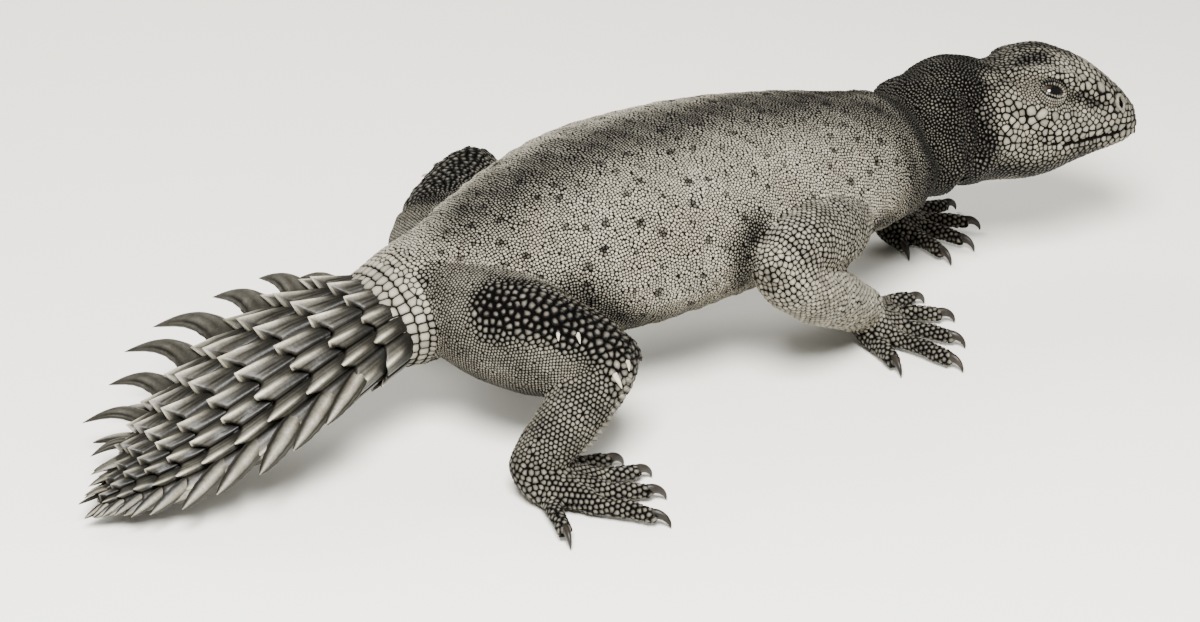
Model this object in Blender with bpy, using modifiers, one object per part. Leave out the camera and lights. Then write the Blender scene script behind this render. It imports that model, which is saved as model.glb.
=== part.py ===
"""A life-size still model of a princely spiny-tailed lizard, walking with its head raised.

The animal faces +X, its left side is +Y and the floor is z = 0. Lengths below are in
millimetres, and MM turns them into metres. The flesh is lofted along the spine and the
limbs, fused into one skin, and parted into named nodes by thin cuts. The tail carries
whorls of spiny scutes, and the eyes and the claws are pieces of their own.
"""

import math

import bmesh
import bpy
import numpy as np
from mathutils import Matrix, Vector
from mathutils.bvhtree import BVHTree

MM = 0.001
GAP = 0.3

# The spine, from the tail root to the nape: x, y, z, half width, height above, depth below.
TRUNK = [
    (10, 0, 22.6, 11.6, 6.8, 8.2),
    (19, 0, 24.6, 12.6, 8.2, 9.6),
    (27, 0, 26.4, 14.2, 10.2, 10.6),
    (38, 0, 28.4, 17.0, 12.8, 11.4),
    (50, 0, 30.0, 21.5, 15.4, 17.0),
    (62, 0, 31.0, 25.4, 16.6, 18.0),
    (76, 0, 31.3, 26.6, 16.8, 16.8),
    (90, 0, 31.4, 24.8, 16.4, 16.2),
    (104, 0, 31.0, 21.4, 15.2, 15.4),
    (116, 0, 30.2, 17.8, 13.8, 13.6),
    (126, 0, 30.0, 15.0, 12.2, 11.8),
    (130.5, 0, 30.4, 13.0, 11.2, 10.6),
    (134, 0, 31.2, 13.6, 12.0, 11.4),
    (138, -0.4, 31.8, 13.2, 13.6, 10.6),
    (143, -1, 32.2, 13.6, 14.8, 11.4),
    (147, -1.6, 32.6, 12.6, 13.8, 10.8),
    (150, -2.2, 32.8, 12.6, 13.0, 11.0),
]

# The tail core, from its root to its tip, as TRUNK.
TAIL = [
    (19, 0, 24.6, 12.2, 7.6, 9.2),
    (11, 0.6, 23.0, 13.8, 6.4, 9.0),
    (1, 1.4, 19.8, 15.6, 5.7, 8.2),
    (-8, 1.6, 16.0, 15.8, 5.2, 6.8),
    (-16, 1.4, 12.2, 14.6, 4.6, 6.0),
    (-23, 1.0, 9.0, 12.0, 4.1, 5.2),
    (-29, 0.4, 6.8, 8.6, 3.4, 4.4),
    (-34, 0, 5.2, 4.8, 2.3, 3.2),
]

# The whorls of the tail, from its root to its tip: x of the hind edge of each dorsal row, then
# the tips of the big spines at its left and right side.
WHORLS = [
    (16.0, None, None),
    (11.0, (10.4, 18.4, 26.0), None),
    (4.8, (5.7, 26.1, 23.8), (-3.8, -18.6, 17.4)),
    (-2.0, (-2.2, 29.1, 20.8), (-10.3, -19.2, 14.8)),
    (-9.0, (-12.8, 32.5, 16.1), (-16.6, -19.0, 12.0)),
    (-15.2, (-19.1, 31.2, 13.4), (-23.4, -16.4, 9.0)),
    (-21.0, (-24.8, 25.5, 10.9), (-29.0, -14.6, 7.0)),
    (-25.6, (-32.3, 20.0, 8.0), (-33.3, -10.8, 5.4)),
    (-29.4, (-35.2, 9.6, 7.2), (-35.9, -8.9, 4.8)),
    (-32.4, (-37.4, 4.4, 6.8), (-37.7, -6.0, 4.2)),
    (-35.0, (-39.1, 1.4, 6.5), (-39.4, -4.4, 3.6)),
    (-37.2, (-40.9, -1.0, 6.0), (-40.6, -3.4, 3.4)),
]

# The head in its own frame, from the nape to the snout: x, mid height, half width, half height.
HEAD_AT = (150.0, -2.0, 33.0)
HEAD_YAW, HEAD_PITCH, HEAD_ROLL = -24.0, 2.5, -8.0
HEAD = [
    (-6, -0.95, 11.4, 10.45),
    (0, -0.95, 12.8, 11.45),
    (5.5, 0.4, 13.2, 12.9),
    (11, 1.05, 12.4, 12.75),
    (15.5, 1.0, 10.9, 11.2),
    (20, 0.45, 9.2, 9.35),
    (24, -0.75, 7.4, 7.25),
    (27.4, -2.05, 5.4, 4.95),
    (29.6, -3.0, 3.0, 2.7),
]

# What the head carries, in its frame and on its left side; the right side mirrors it.
EYE_AT, EYE_R = (10.0, 9.5, 6.2), 2.8
EYE_LOOK = (0.12, 0.88, 0.46)
EYE_SINK = 0.4
LID = 0.65
LID_OPENING = (2.5, 1.15, 1.9)
NOSTRIL_AT, NOSTRIL_LOOK = (24.0, 7.0, 2.4), (0.45, 0.85, 0.25)
NOSTRIL_SIZE, NOSTRIL_RIM = (0.75, 1.05, 1.9), (1.35, 1.7, 0.95)
EAR_AT, EAR_LOOK = (-5.6, 14.6, 2.4), (0, 1, 0.1)
EAR_SIZE, EAR_RIM = (1.6, 3.6, 2.2), (2.7, 4.6, 1.5)
MOUTH = [
    (31, 0, -3.9),
    (28.5, 5, -3.9),
    (24.3, 8, -3.9),
    (20.5, 10, -3.9),
    (14.5, 12.5, -3.7),
    (8, 14, -2.3),
]
MOUTH_R, LIP_R, LIP_LIFT = 0.32, 0.85, 0.95

# The limbs: x, y, z and radius at each joint, from inside the trunk to the wrist or ankle.
THIGH_R = [
    (27, -5, 27, 8.8),
    (31.5, -14, 25.2, 10.2),
    (37, -22, 23.4, 9.8),
    (42.5, -28.5, 22.6, 7.2),
    (45.2, -31.5, 21.8, 5.4),
]
SHIN_R = [
    (44.4, -31, 22.8, 4.8),
    (42.8, -32, 20.2, 5.7),
    (36.2, -32.6, 14.4, 5.6),
    (31.2, -32.4, 9.2, 5.2),
    (28.4, -32.3, 6.4, 4.6),
]
THIGH_L = [
    (30, 5, 28, 8.6),
    (36.5, 14, 28.6, 9.0),
    (44, 21.5, 30.2, 8.2),
    (50.5, 27.5, 31.6, 6.6),
    (53.5, 30.5, 31.6, 5.2),
]
SHIN_L = [
    (53, 30, 31.8, 4.8),
    (52, 31.4, 28.8, 5.8),
    (48, 33, 20, 5.4),
    (43, 34.4, 11, 4.8),
    (40, 35, 6.6, 4.4),
]
UPPER_R = [
    (108, -8, 26, 7.0),
    (102, -17, 27.6, 7.6),
    (93, -24, 30, 7.2),
    (85, -28, 30.8, 6.4),
    (80.5, -29.4, 29.6, 4.8),
]
FORE_R = [
    (80.8, -29.6, 30.4, 4.6),
    (83.4, -29, 27.4, 6.2),
    (92.5, -25.6, 20.2, 6.3),
    (104, -19.3, 12.0, 5.2),
    (110.6, -15.6, 7.4, 4.7),
]
UPPER_L = [
    (106, 8, 26, 7.0),
    (110, 16, 26.6, 7.4),
    (114, 22.5, 26.6, 6.8),
    (118, 27, 25, 5.9),
    (120, 28.4, 23.4, 4.6),
]
FORE_L = [
    (119.4, 28.2, 24.2, 4.4),
    (122, 27.4, 20.6, 5.9),
    (128.5, 23.4, 14.6, 5.8),
    (135.5, 20.6, 9.4, 5.0),
    (141, 18.6, 7.2, 4.4),
]

# Each foot: where the wrist or ankle is, then for toes 1 to 5 the place of its root and of
# the tip of its claw, both from the wrist.
FEET = {
    "forefoot_right": (
        (111.5, -15.0),
        [
            (11, 6, 19.5, 5.5),
            (10.5, 1, 19.5, -4),
            (8, -4.5, 14.5, -13.5),
            (3.5, -7, 8, -21),
            (-1, -6, -3, -16.5),
        ],
    ),
    "forefoot_left": (
        (142.0, 18.0),
        [
            (-0.5, -4, -2, -11),
            (3.5, -6, 4, -17),
            (8, -4.5, 12, -14.4),
            (10.5, -1, 19.5, -7),
            (11, 3.5, 21.5, 3.5),
        ],
    ),
    "hindfoot_right": (
        (27.8, -32.5),
        [
            (12, 1.5, 19.5, 1),
            (12.5, -4, 21.5, -5),
            (10.5, -8.5, 19.5, -12.7),
            (7, -11.5, 15, -21),
            (0.5, -5, -3, -18),
        ],
    ),
    "hindfoot_left": (
        (40.0, 35.0),
        [
            (12, -1.5, 19.5, -1),
            (12.5, 4, 21.5, 5),
            (10.5, 8.5, 19.5, 12.7),
            (7, 11.5, 15, 21),
            (0.5, 5, -3, 18),
        ],
    ),
}
TOE_R = 1.65
TOE_TRIM, TRIM_R, TRIM_LENGTH = 0.7, 2.4, 2.6

# A claw leaves its toe flat and hooks down: how far it reaches ahead and drops, its half
# width at its root, how high that lies over the toe's middle, and how far it turns.
CLAW_REACH, CLAW_DROP, CLAW_R, CLAW_LIFT = 2.4, 2.45, 1.0, 0.35
CLAW_TURN = math.radians(84)
SPINE_BASE, SPINE_ROOT, SPINE_BOW, SPINE_ARCH = 0.62, 1.9, 0.07, 0.1
RIDGE, BELLY_RIDGE = 2.1, 0.6

# The white spines of the right hind leg: a place, the way each one points, and its length.
LEG_SPINES = {
    "thigh": [((38.3, -31.1, 27.6), (-0.2, -0.75, -0.3), 2.2), ((35.4, -29.4, 28.2), (-0.2, -0.75, -0.3), 2.0)],
    "shin": [((42.2, -37.4, 20.4), (0.1, -0.6, -0.75), 2.6)],
}
LEG_SPINE_R, LEG_SPINE_ROOT = 1.0, 1.4
WHORL_SPAN = math.radians(136)
WHORL_LAP, CORE_INSET = 1.3, 1.3

VOXEL = 0.8
REGION_FACES = {"head": 1250, "feet": 1700, "tail": 160, "body": 2000}
FLOOR_SIZE = (400, 200, 10)

LOOKS = {
    "skin": ((0.16, 0.15, 0.12), 0.75),
    "head": ((0.20, 0.19, 0.15), 0.7),
    "neck": ((0.09, 0.085, 0.07), 0.8),
    "tail": ((0.26, 0.24, 0.19), 0.6),
    "eye": ((0.02, 0.014, 0.01), 0.1),
    "claw": ((0.03, 0.026, 0.022), 0.35),
}

# Where the body parts: a point of each cut and the way its thin disc faces, with its radius.
BODY_CUTS = {
    "nape": ((140, -0.6, 32.6), (0.95, -0.3, 0.02), 18),
    "shoulders": ((131, 0, 30.5), (1, 0, 0), 15.5),
    "tail_root": ((19.8, 0, 24.3), (1, 0, 0.2), 15.8),
    "hip_right": ((34, -17.4, 25), (0.303, 0.953, 0), 15),
    "hip_left": ((41, 19.7, 28), (0.303, -0.953, 0), 18),
    "arm_right": ((93, -23.6, 27.5), (0.17, -0.86, -0.47), 18),
    "arm_left": ((112.5, 18.7, 26.5), (0.28, 0.9, -0.3), 12),
}
LIMBS = {
    "hindleg_right": ("thigh_right", "shin_right", "hindfoot_right", THIGH_R, SHIN_R),
    "hindleg_left": ("thigh_left", "shin_left", "hindfoot_left", THIGH_L, SHIN_L),
    "foreleg_right": ("upper_arm_right", "forearm_right", "forefoot_right", UPPER_R, FORE_R),
    "foreleg_left": ("upper_arm_left", "forearm_left", "forefoot_left", UPPER_L, FORE_L),
}
BODY_SEEDS = {
    "head": (160, -6, 33),
    "neck": (135, 0, 31),
    "torso": (75, 0, 31),
    "tail": (-8, 0, 15),
    "hindleg_right": (40, -29, 17),
    "hindleg_left": (47, 32, 20),
    "foreleg_right": (98, -25, 18),
    "foreleg_left": (130, 23, 14),
}


def mesh_object(name, bm, collection):
    """Makes an object of a bmesh that is in millimetres."""
    bmesh.ops.recalc_face_normals(bm, faces=bm.faces)
    bmesh.ops.scale(bm, vec=(MM, MM, MM), verts=bm.verts)
    mesh = bpy.data.meshes.new(name)
    bm.to_mesh(mesh)
    bm.free()
    made = bpy.data.objects.new(name, mesh)
    collection.objects.link(made)
    return made


def smooth_stations(stations, step):
    """Catmull-Rom points through the stations, about step millimetres apart."""
    p = np.array(stations, float)
    p = np.vstack([2 * p[0] - p[1], p, 2 * p[-1] - p[-2]])
    rows = []
    for a, b, c, d in zip(p, p[1:], p[2:], p[3:]):
        count = max(2, round(np.linalg.norm((c - b)[:3]) / step))
        for t in np.arange(count) / count:
            rows.append(
                b + 0.5 * t * (c - a + t * (2 * a - 5 * b + 4 * c - d + t * (3 * (b - c) + d - a)))
            )
    return np.array(rows + [p[-2]])


def ring(centre, side, up, half_width, above, below, count):
    """Points round an oval section whose upper and lower halves differ."""
    points = []
    for k in range(count):
        a = 2 * math.pi * k / count
        height = above if math.sin(a) > 0 else below
        points.append(centre + side * (half_width * math.cos(a)) + up * (height * math.sin(a)))
    return points


def loft(name, sections, collection, flat_ends=False):
    """A closed tube through rings of points, each end closed with a fan or with one flat face."""
    bm = bmesh.new()
    rings = [[bm.verts.new(p) for p in points] for points in sections]
    count = len(rings[0])
    for first, second in zip(rings, rings[1:]):
        for k in range(count):
            bm.faces.new((first[k], first[(k + 1) % count], second[(k + 1) % count], second[k]))
    for end in (rings[0], rings[-1]):
        if flat_ends:
            bm.faces.new(end)
            continue
        tip = bm.verts.new(sum((v.co for v in end), Vector()) / count)
        for k in range(count):
            bm.faces.new((end[k], end[(k + 1) % count], tip))
    return mesh_object(name, bm, collection)


def spine_loft(name, stations, collection, sides=32, step=2.0):
    """A tube along the spine. Its sections stand square to its run."""
    rows = smooth_stations(stations, step)
    runs = np.gradient(rows[:, :3], axis=0)
    sections = []
    for row, run in zip(rows, runs):
        ahead = Vector(run).normalized()
        side = Vector((0, 0, 1)).cross(ahead).normalized()
        sections.append(ring(Vector(row[:3]), side, ahead.cross(side), *row[3:], sides))
    return loft(name, sections, collection)


def limb_loft(name, stations, collection, sides=16, step=1.5):
    """A round tube along a limb, with domed ends."""
    rows = smooth_stations(stations, step)
    runs = np.gradient(rows[:, :3], axis=0)
    side = Vector(runs[0]).cross(Vector((0.3, 0.2, 1))).normalized()
    sections = []
    for k, ((*centre, radius), run) in enumerate(zip(rows, runs)):
        ahead = Vector(run).normalized()
        side = (side - ahead * side.dot(ahead)).normalized()
        steps = [(0, 1)]
        if k == 0:
            steps = [(-0.8, 0.5), (-0.45, 0.85), (0, 1)]
        if k == len(rows) - 1:
            steps = [(0, 1), (0.45, 0.85), (0.8, 0.5)]
        for reach, share in steps:
            middle = Vector(centre) + ahead * radius * reach
            sections.append(ring(middle, side, ahead.cross(side), *[radius * share] * 3, sides))
    return loft(name, sections, collection)


def head_frame():
    """The matrix from the head's own frame to the animal's, in millimetres."""
    turn = (
        Matrix.Rotation(math.radians(HEAD_YAW), 4, "Z")
        @ Matrix.Rotation(math.radians(-HEAD_PITCH), 4, "Y")
        @ Matrix.Rotation(math.radians(HEAD_ROLL), 4, "X")
    )
    return Matrix.Translation(HEAD_AT) @ turn


def head_loft(collection, sides=32):
    """The head, a little boxy in section, with a flat crown and full cheeks."""
    rows = smooth_stations([(x, 0, z, w, h, h) for x, z, w, h in HEAD], 1.5)
    frame = head_frame()
    sections = []
    for x, _, z, width, above, below in rows:
        points = []
        for k in range(sides):
            a = 2 * math.pi * k / sides
            c, s = math.cos(a), math.sin(a)
            square = (abs(c) ** 2.5 + abs(s) ** 2.5) ** (-1 / 2.5)
            points.append(frame @ Vector((x, width * c * square, z + above * s * square)))
        sections.append(points)
    return loft("head_loft", sections, collection)


def toe_points(foot, index):
    """The run of a toe: x, y, z and radius from the wrist to its last joint, and its heading."""
    (x, y), toes = FEET[foot]
    root_x, root_y, tip_x, tip_y = toes[index]
    start = Vector((x, y, 0))
    root = start + Vector((root_x, root_y, 0))
    tip = start + Vector((tip_x, tip_y, 0))
    ahead = (tip - root).normalized()
    length = (tip - root).length - CLAW_REACH - TOE_TRIM - GAP
    rows = [
        (*(start + Vector((0, 0, 5.4))), 3.6),
        (*(start.lerp(root, 0.55) + Vector((0, 0, 3.4))), 2.9),
        (*(root + Vector((0, 0, 2.4))), TOE_R + 0.3),
        (*(root + ahead * 0.5 * length + Vector((0, 0, 2.6))), TOE_R + 0.05),
        (*(root + ahead * length + Vector((0, 0, 2.2))), TOE_R - 0.1),
    ]
    return rows, ahead


def claw(name, foot, index, collection):
    """A hooked, tapering claw whose flat back stands off the trimmed end of its toe."""
    rows, ahead = toe_points(foot, index)
    side, upright = Vector((-ahead.y, ahead.x, 0)), Vector((0, 0, 1))
    start = Vector(rows[-1][:3]) + ahead * (TOE_TRIM + GAP) + upright * CLAW_LIFT
    sections = []
    for k in range(6):
        t = k / 5
        turn = CLAW_TURN * t
        reach, drop = CLAW_REACH * math.sin(turn), CLAW_DROP * (1 - math.cos(turn))
        size = CLAW_R * (1 - t) ** 0.8 + 0.12
        up = ahead * math.sin(turn) + upright * math.cos(turn)
        sections.append(ring(start + ahead * reach - upright * drop, side, up, size * 0.8, size, size, 6))
    return loft(name, sections, collection)


def toe_trim(foot, index, collection):
    """A block that takes the round end off a toe, where its claw meets it."""
    rows, ahead = toe_points(foot, index)
    end = Vector(rows[-1][:3])
    side = Vector((-ahead.y, ahead.x, 0))
    sections = [
        ring(end + ahead * reach + Vector((0, 0, 0.4)), side, Vector((0, 0, 1)), *[TRIM_R] * 3, 6)
        for reach in (TOE_TRIM, TOE_TRIM + TRIM_LENGTH)
    ]
    return loft("toe_trim", sections, collection, flat_ends=True)


def disc(point, facing, radius, collection, thickness=GAP):
    """A thin round slab, the cutter that parts two nodes."""
    ahead = Vector(facing).normalized()
    side = ahead.orthogonal().normalized()
    up = ahead.cross(side)
    sections = [
        ring(Vector(point) + ahead * reach, side, up, radius, radius, radius, 24)
        for reach in (-thickness / 2, thickness / 2)
    ]
    return loft("disc", sections, collection, flat_ends=True)


def apply_modifiers(made):
    """Replaces an object's mesh by what its modifiers make of it."""
    graph = bpy.context.evaluated_depsgraph_get()
    mesh = bpy.data.meshes.new_from_object(made.evaluated_get(graph))
    made.modifiers.clear()
    made.data = mesh


def combine(made, others, operation, solver="EXACT"):
    """Joins the other closed meshes to this one, or cuts them from it, and removes them."""
    group = bpy.data.collections.new("operands")
    bpy.context.scene.collection.children.link(group)
    for other in others:
        for held in list(other.users_collection):
            held.objects.unlink(other)
        group.objects.link(other)
    boolean = made.modifiers.new("combine", "BOOLEAN")
    boolean.operation = operation
    boolean.operand_type = "COLLECTION"
    boolean.collection = group
    boolean.solver = solver
    apply_modifiers(made)
    for other in others:
        bpy.data.objects.remove(other)
    bpy.data.collections.remove(group)


def islands(bm):
    """The faces of each closed surface of a bmesh."""
    found, seen = [], set()
    for start in bm.faces:
        if start in seen:
            continue
        seen.add(start)
        island, edge = [start], [start]
        while edge:
            face = edge.pop()
            for loop in face.loops:
                for near in loop.edge.link_faces:
                    if near not in seen:
                        seen.add(near)
                        island.append(near)
                        edge.append(near)
        found.append(island)
    return found


def split(made, seeds, collection):
    """Makes a node of the largest closed surface nearest each named point, in millimetres."""
    bm = bmesh.new()
    bm.from_mesh(made.data)
    pieces = []
    for island in islands(bm):
        verts = {v for f in island for v in f.verts}
        middle = sum((v.co for v in verts), Vector()) / len(verts) / MM
        pieces.append((len(island), middle, {f.index for f in island}))
    nodes = {}
    for name, seed in seeds.items():
        near = [p for p in pieces if min(seeds, key=lambda n: (Vector(seeds[n]) - p[1]).length) == name]
        keep = max(near)[2]
        part = bm.copy()
        part.faces.ensure_lookup_table()
        bmesh.ops.delete(part, geom=[f for f in part.faces if f.index not in keep], context="FACES")
        mesh = bpy.data.meshes.new(name)
        part.to_mesh(mesh)
        part.free()
        nodes[name] = bpy.data.objects.new(name, mesh)
        collection.objects.link(nodes[name])
    bm.free()
    bpy.data.objects.remove(made)
    return nodes


def keep_largest(made):
    """Drops every closed surface of a node but the one with most faces."""
    bm = bmesh.new()
    bm.from_mesh(made.data)
    found = sorted(islands(bm), key=len)
    bmesh.ops.delete(bm, geom=[f for island in found[:-1] for f in island], context="FACES")
    bm.to_mesh(made.data)
    bm.free()


def flesh_lofts(collection):
    """The plain tubes of the trunk, tail, head, limbs and toes, not yet joined."""
    pieces = [
        spine_loft("trunk_loft", TRUNK, collection),
        spine_loft("tail_loft", tail_core(), collection),
        head_loft(collection),
    ]
    for _, _, foot, upper, lower in LIMBS.values():
        pieces.append(limb_loft("upper_loft", upper, collection))
        pieces.append(limb_loft("lower_loft", lower, collection))
        pieces.append(palm_loft(foot, collection))
        for index in range(5):
            rows, _ = toe_points(foot, index)
            pieces.append(limb_loft("toe_loft", rows, collection, sides=10, step=1.5))
    return pieces


def tail_core():
    """The stations of the tail's flesh, which lies a little inside the whorls that cover it."""
    bare = [row for row in TAIL if row[0] > WHORLS[0][0]]
    return bare + [(*row[:3], *(size - CORE_INSET for size in row[3:])) for row in TAIL[len(bare):]]


def palm_loft(foot, collection):
    """The flat pad of a foot, from the wrist to between the roots of its toes."""
    (x, y), toes = FEET[foot]
    start = Vector((x, y, 0))
    roots = [Vector((root_x, root_y, 0)) for root_x, root_y, _, _ in toes[:4]]
    middle = sum(roots, Vector()) / 4
    spread = (roots[0] - roots[3]).length / 2
    ahead = middle.normalized()
    side = Vector((-ahead.y, ahead.x, 0))
    sections = []
    for t, width, above, below, height in (
        (-0.1, 2.2, 2.0, 1.6, 4.4),
        (0.0, 3.9, 3.4, 3.6, 4.4),
        (0.4, 4.2, 2.6, 4.0, 3.4),
        (0.7, 0.85 * spread, 2.0, 3.2, 2.6),
        (0.92, 0.68 * spread, 1.3, 2.0, 2.0),
    ):
        centre = start + middle * t + Vector((0, 0, height))
        sections.append(ring(centre, side, Vector((0, 0, 1)), width, above, below, 12))
    return loft("palm_loft", sections, collection)


def region_of(x, z):
    """Which part of the body a point of the skin belongs to, in millimetres."""
    if x > 140:
        return "head"
    if x < WHORLS[0][0] + 2:
        return "tail"
    return "feet" if z < 9 else "body"


def thin_out(made, region, faces):
    """Reduces one region of a mesh to about so many triangles and leaves the rest alone."""
    bm = bmesh.new()
    bm.from_mesh(made.data)
    bmesh.ops.triangulate(bm, faces=bm.faces)
    bm.to_mesh(made.data)
    bm.free()
    group = made.vertex_groups.new(name=region)
    inside = [region_of(v.co.x / MM, v.co.z / MM) == region for v in made.data.vertices]
    group.add([k for k, found in enumerate(inside) if found], 1.0, "REPLACE")
    total = len(made.data.polygons)
    count = sum(all(inside[k] for k in f.vertices) for f in made.data.polygons)
    thin = made.modifiers.new("thin", "DECIMATE")
    thin.ratio = (total - count + faces) / total
    thin.vertex_group = region
    thin.use_collapse_triangulate = True
    apply_modifiers(made)
    made.vertex_groups.clear()


def fuse(name, pieces, collection):
    """One skin over all the pieces, remeshed, smoothed and thinned out, finest on head and feet."""
    bm = bmesh.new()
    for piece in pieces:
        bm.from_mesh(piece.data)
        bpy.data.objects.remove(piece)
    mesh = bpy.data.meshes.new(name)
    bm.to_mesh(mesh)
    bm.free()
    made = bpy.data.objects.new(name, mesh)
    collection.objects.link(made)
    remesh = made.modifiers.new("remesh", "REMESH")
    remesh.mode = "VOXEL"
    remesh.voxel_size = VOXEL * MM
    smooth = made.modifiers.new("smooth", "SMOOTH")
    smooth.factor = 0.5
    smooth.iterations = 3
    apply_modifiers(made)
    for region, faces in REGION_FACES.items():
        thin_out(made, region, faces)
    return made


def fold_plane(joint, above, below, shift):
    """The plane that halves the bend at a joint, moved towards the part above it."""
    joint = Vector(joint)
    facing = ((Vector(above) - joint).normalized() - (Vector(below) - joint).normalized()).normalized()
    return joint + facing * shift, facing


def dome(name, centre, axes, sizes, collection, segments=12, rings=8):
    """An ellipsoid along three axes, in millimetres."""
    bm = bmesh.new()
    bmesh.ops.create_uvsphere(bm, u_segments=segments, v_segments=rings, radius=1)
    turn = Matrix([[a[r] * s for a, s in zip(axes, sizes)] for r in range(3)]).to_4x4()
    bmesh.ops.transform(bm, matrix=Matrix.Translation(centre) @ turn, verts=bm.verts)
    return mesh_object(name, bm, collection)


def tube(name, points, radius, collection, sides=5):
    """A closed tube through points."""
    runs = np.gradient(np.array(points), axis=0)
    sections = []
    for point, run in zip(points, runs):
        ahead = Vector(run).normalized()
        side = ahead.cross(Vector((0, 0, 1))).normalized()
        sections.append(ring(Vector(point), side, side.cross(ahead), radius, radius, radius, sides))
    return loft(name, sections, collection)


def mirrored(point, side):
    return Vector((point[0], point[1] * side, point[2]))


def surface_of(made):
    """A search tree over a node's surface, in millimetres."""
    bm = bmesh.new()
    bm.from_mesh(made.data)
    bmesh.ops.scale(bm, vec=(1 / MM,) * 3, verts=bm.verts)
    tree = BVHTree.FromBMesh(bm)
    bm.free()
    return tree


def mouth_run(tree, rise, sink):
    """Points of the mouth from corner to corner, rise above its line and sunk into the skin."""
    frame = head_frame()
    left = smooth_stations(MOUTH, 3.0)
    line = [mirrored(p, -1) for p in left[:0:-1]] + [mirrored(p, 1) for p in left]
    points = []
    for p in line:
        origin = frame @ Vector((min(p.x, 24.0), 0, p.z + rise))
        towards = (frame @ Vector((p.x, p.y, p.z + rise)) - origin).normalized()
        hit = tree.ray_cast(origin + towards * 60, -towards)[0]
        points.append(hit - towards * sink)
    return points


def facing_axes(facing, upright):
    """The directions across, up and out of a surface, for a form that lies on it."""
    upright = (upright - facing * facing.dot(upright)).normalized()
    return facing.cross(upright), upright, facing


def head_features(head, collection):
    """Cuts and raises the ears, lids, nostrils, lips and mouth, and makes the eyes."""
    frame = head_frame()
    turn = frame.to_3x3()
    tree = surface_of(head)
    raised = [
        tube("upper_lip", mouth_run(tree, LIP_LIFT, 0.45), LIP_R, collection),
        tube("lower_lip", mouth_run(tree, -LIP_LIFT, 0.5), LIP_R, collection),
    ]
    sunk = [tube("mouth", mouth_run(tree, 0, 0.1), MOUTH_R, collection, sides=4)]
    eyes = []
    for side, word in ((-1, "right"), (1, "left")):
        look = (turn @ mirrored(EYE_LOOK, side)).normalized()
        along = (turn @ Vector((1, 0, -0.08))).normalized()
        along = (along - look * along.dot(look)).normalized()
        axes = (along, look.cross(along), look)
        at = frame @ mirrored(EYE_AT, side)
        socket = EYE_R + GAP
        lids = (socket + LID + 0.5, socket + LID, socket + LID)
        eyes.append(dome(f"eye_{word}", at, axes, (EYE_R,) * 3, collection, 14, 8))
        raised.append(dome("lids", at - look * EYE_SINK, axes, lids, collection))
        sunk.append(dome("socket", at, axes, (socket,) * 3, collection, 14, 8))
        sunk.append(dome("slit", at + look * EYE_R, axes, LID_OPENING, collection, 12, 6))
        for form, place, outward, rim, hollow, rise in (
            ("nostril", NOSTRIL_AT, NOSTRIL_LOOK, NOSTRIL_RIM, NOSTRIL_SIZE, (-0.35, 0.5)),
            ("ear", EAR_AT, EAR_LOOK, EAR_RIM, EAR_SIZE, (-0.7, 0.4)),
        ):
            place = frame @ mirrored(place, side)
            outward = (turn @ mirrored(outward, side)).normalized()
            hit, facing, _, _ = tree.ray_cast(place + outward * 20, -outward)
            axes = facing_axes(facing, turn @ Vector((0, 0, 1)))
            raised.append(dome(f"{form}_rim", hit + facing * rise[0], axes, rim, collection, 12, 6))
            sunk.append(dome(form, hit + facing * rise[1], axes, hollow, collection, 10, 6))
    combine(head, raised, "UNION")
    combine(head, sunk, "DIFFERENCE")
    keep_largest(head)
    return eyes


def floor_block(collection):
    """The block below the floor, which makes the soles and the tail tip flat."""
    bm = bmesh.new()
    bmesh.ops.create_cube(bm, size=1)
    bmesh.ops.scale(bm, vec=FLOOR_SIZE, verts=bm.verts)
    bmesh.ops.translate(bm, vec=(70, 0, -FLOOR_SIZE[2] / 2), verts=bm.verts)
    return mesh_object("floor", bm, collection)


def tail_section(x):
    """The tail core at a place along it: its middle, half width, height above and depth below."""
    rows = np.array(TAIL[::-1], float)
    values = [np.interp(x, rows[:, 0], rows[:, k]) for k in range(1, 6)]
    if x < rows[0, 0]:
        fall = rows[0, 0] - x
        values[1] -= 0.35 * fall
        values[2:] = [v * max(0.25, 1 - 0.16 * fall) for v in values[2:]]
    y, z, width, above, below = values
    return Vector((x, y, z)), width, above, below


def on_tail(x, angle, lift):
    """A point of the tail's skin at an angle round it, 0 at its left side, with a lift off it."""
    middle, width, above, below = tail_section(x)
    height = above if math.sin(angle) > 0 else below
    return middle + Vector((0, (width + lift) * math.cos(angle), (height + lift) * math.sin(angle)))


def whorl(x, length, dorsal, ventral, collection):
    """One belt of keeled scutes: sunk at its front, ridged, each scute's hind tip raised."""
    edges, ridges = [], []
    sides = math.pi - WHORL_SPAN
    for middle, count, span in (
        (0, 1, sides),
        (math.pi / 2, dorsal, WHORL_SPAN),
        (math.pi, 1, sides),
        (-math.pi / 2, ventral, WHORL_SPAN),
    ):
        for k in range(count):
            edges.append(middle + span * (k / count - 0.5))
            ridges.append(middle + span * ((k + 0.5) / count - 0.5))
    sections = []
    for reach, low, high in ((0, -0.9, -0.6), (1, 0.5, None), (0.93, -1.0, -1.0)):
        points = []
        for edge, ridge in zip(edges, ridges):
            back = 0.5 + 0.5 * math.sin(ridge)
            keel = BELLY_RIDGE + (RIDGE - BELLY_RIDGE) * back
            behind = 0.22 * length * back if high is None else 0
            points.append(on_tail(x + length * (1 - reach), edge, low))
            points.append(on_tail(x + length * (1 - reach) - behind, ridge, keel if high is None else high))
        sections.append(points)
    return loft("whorl", sections, collection)


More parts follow.
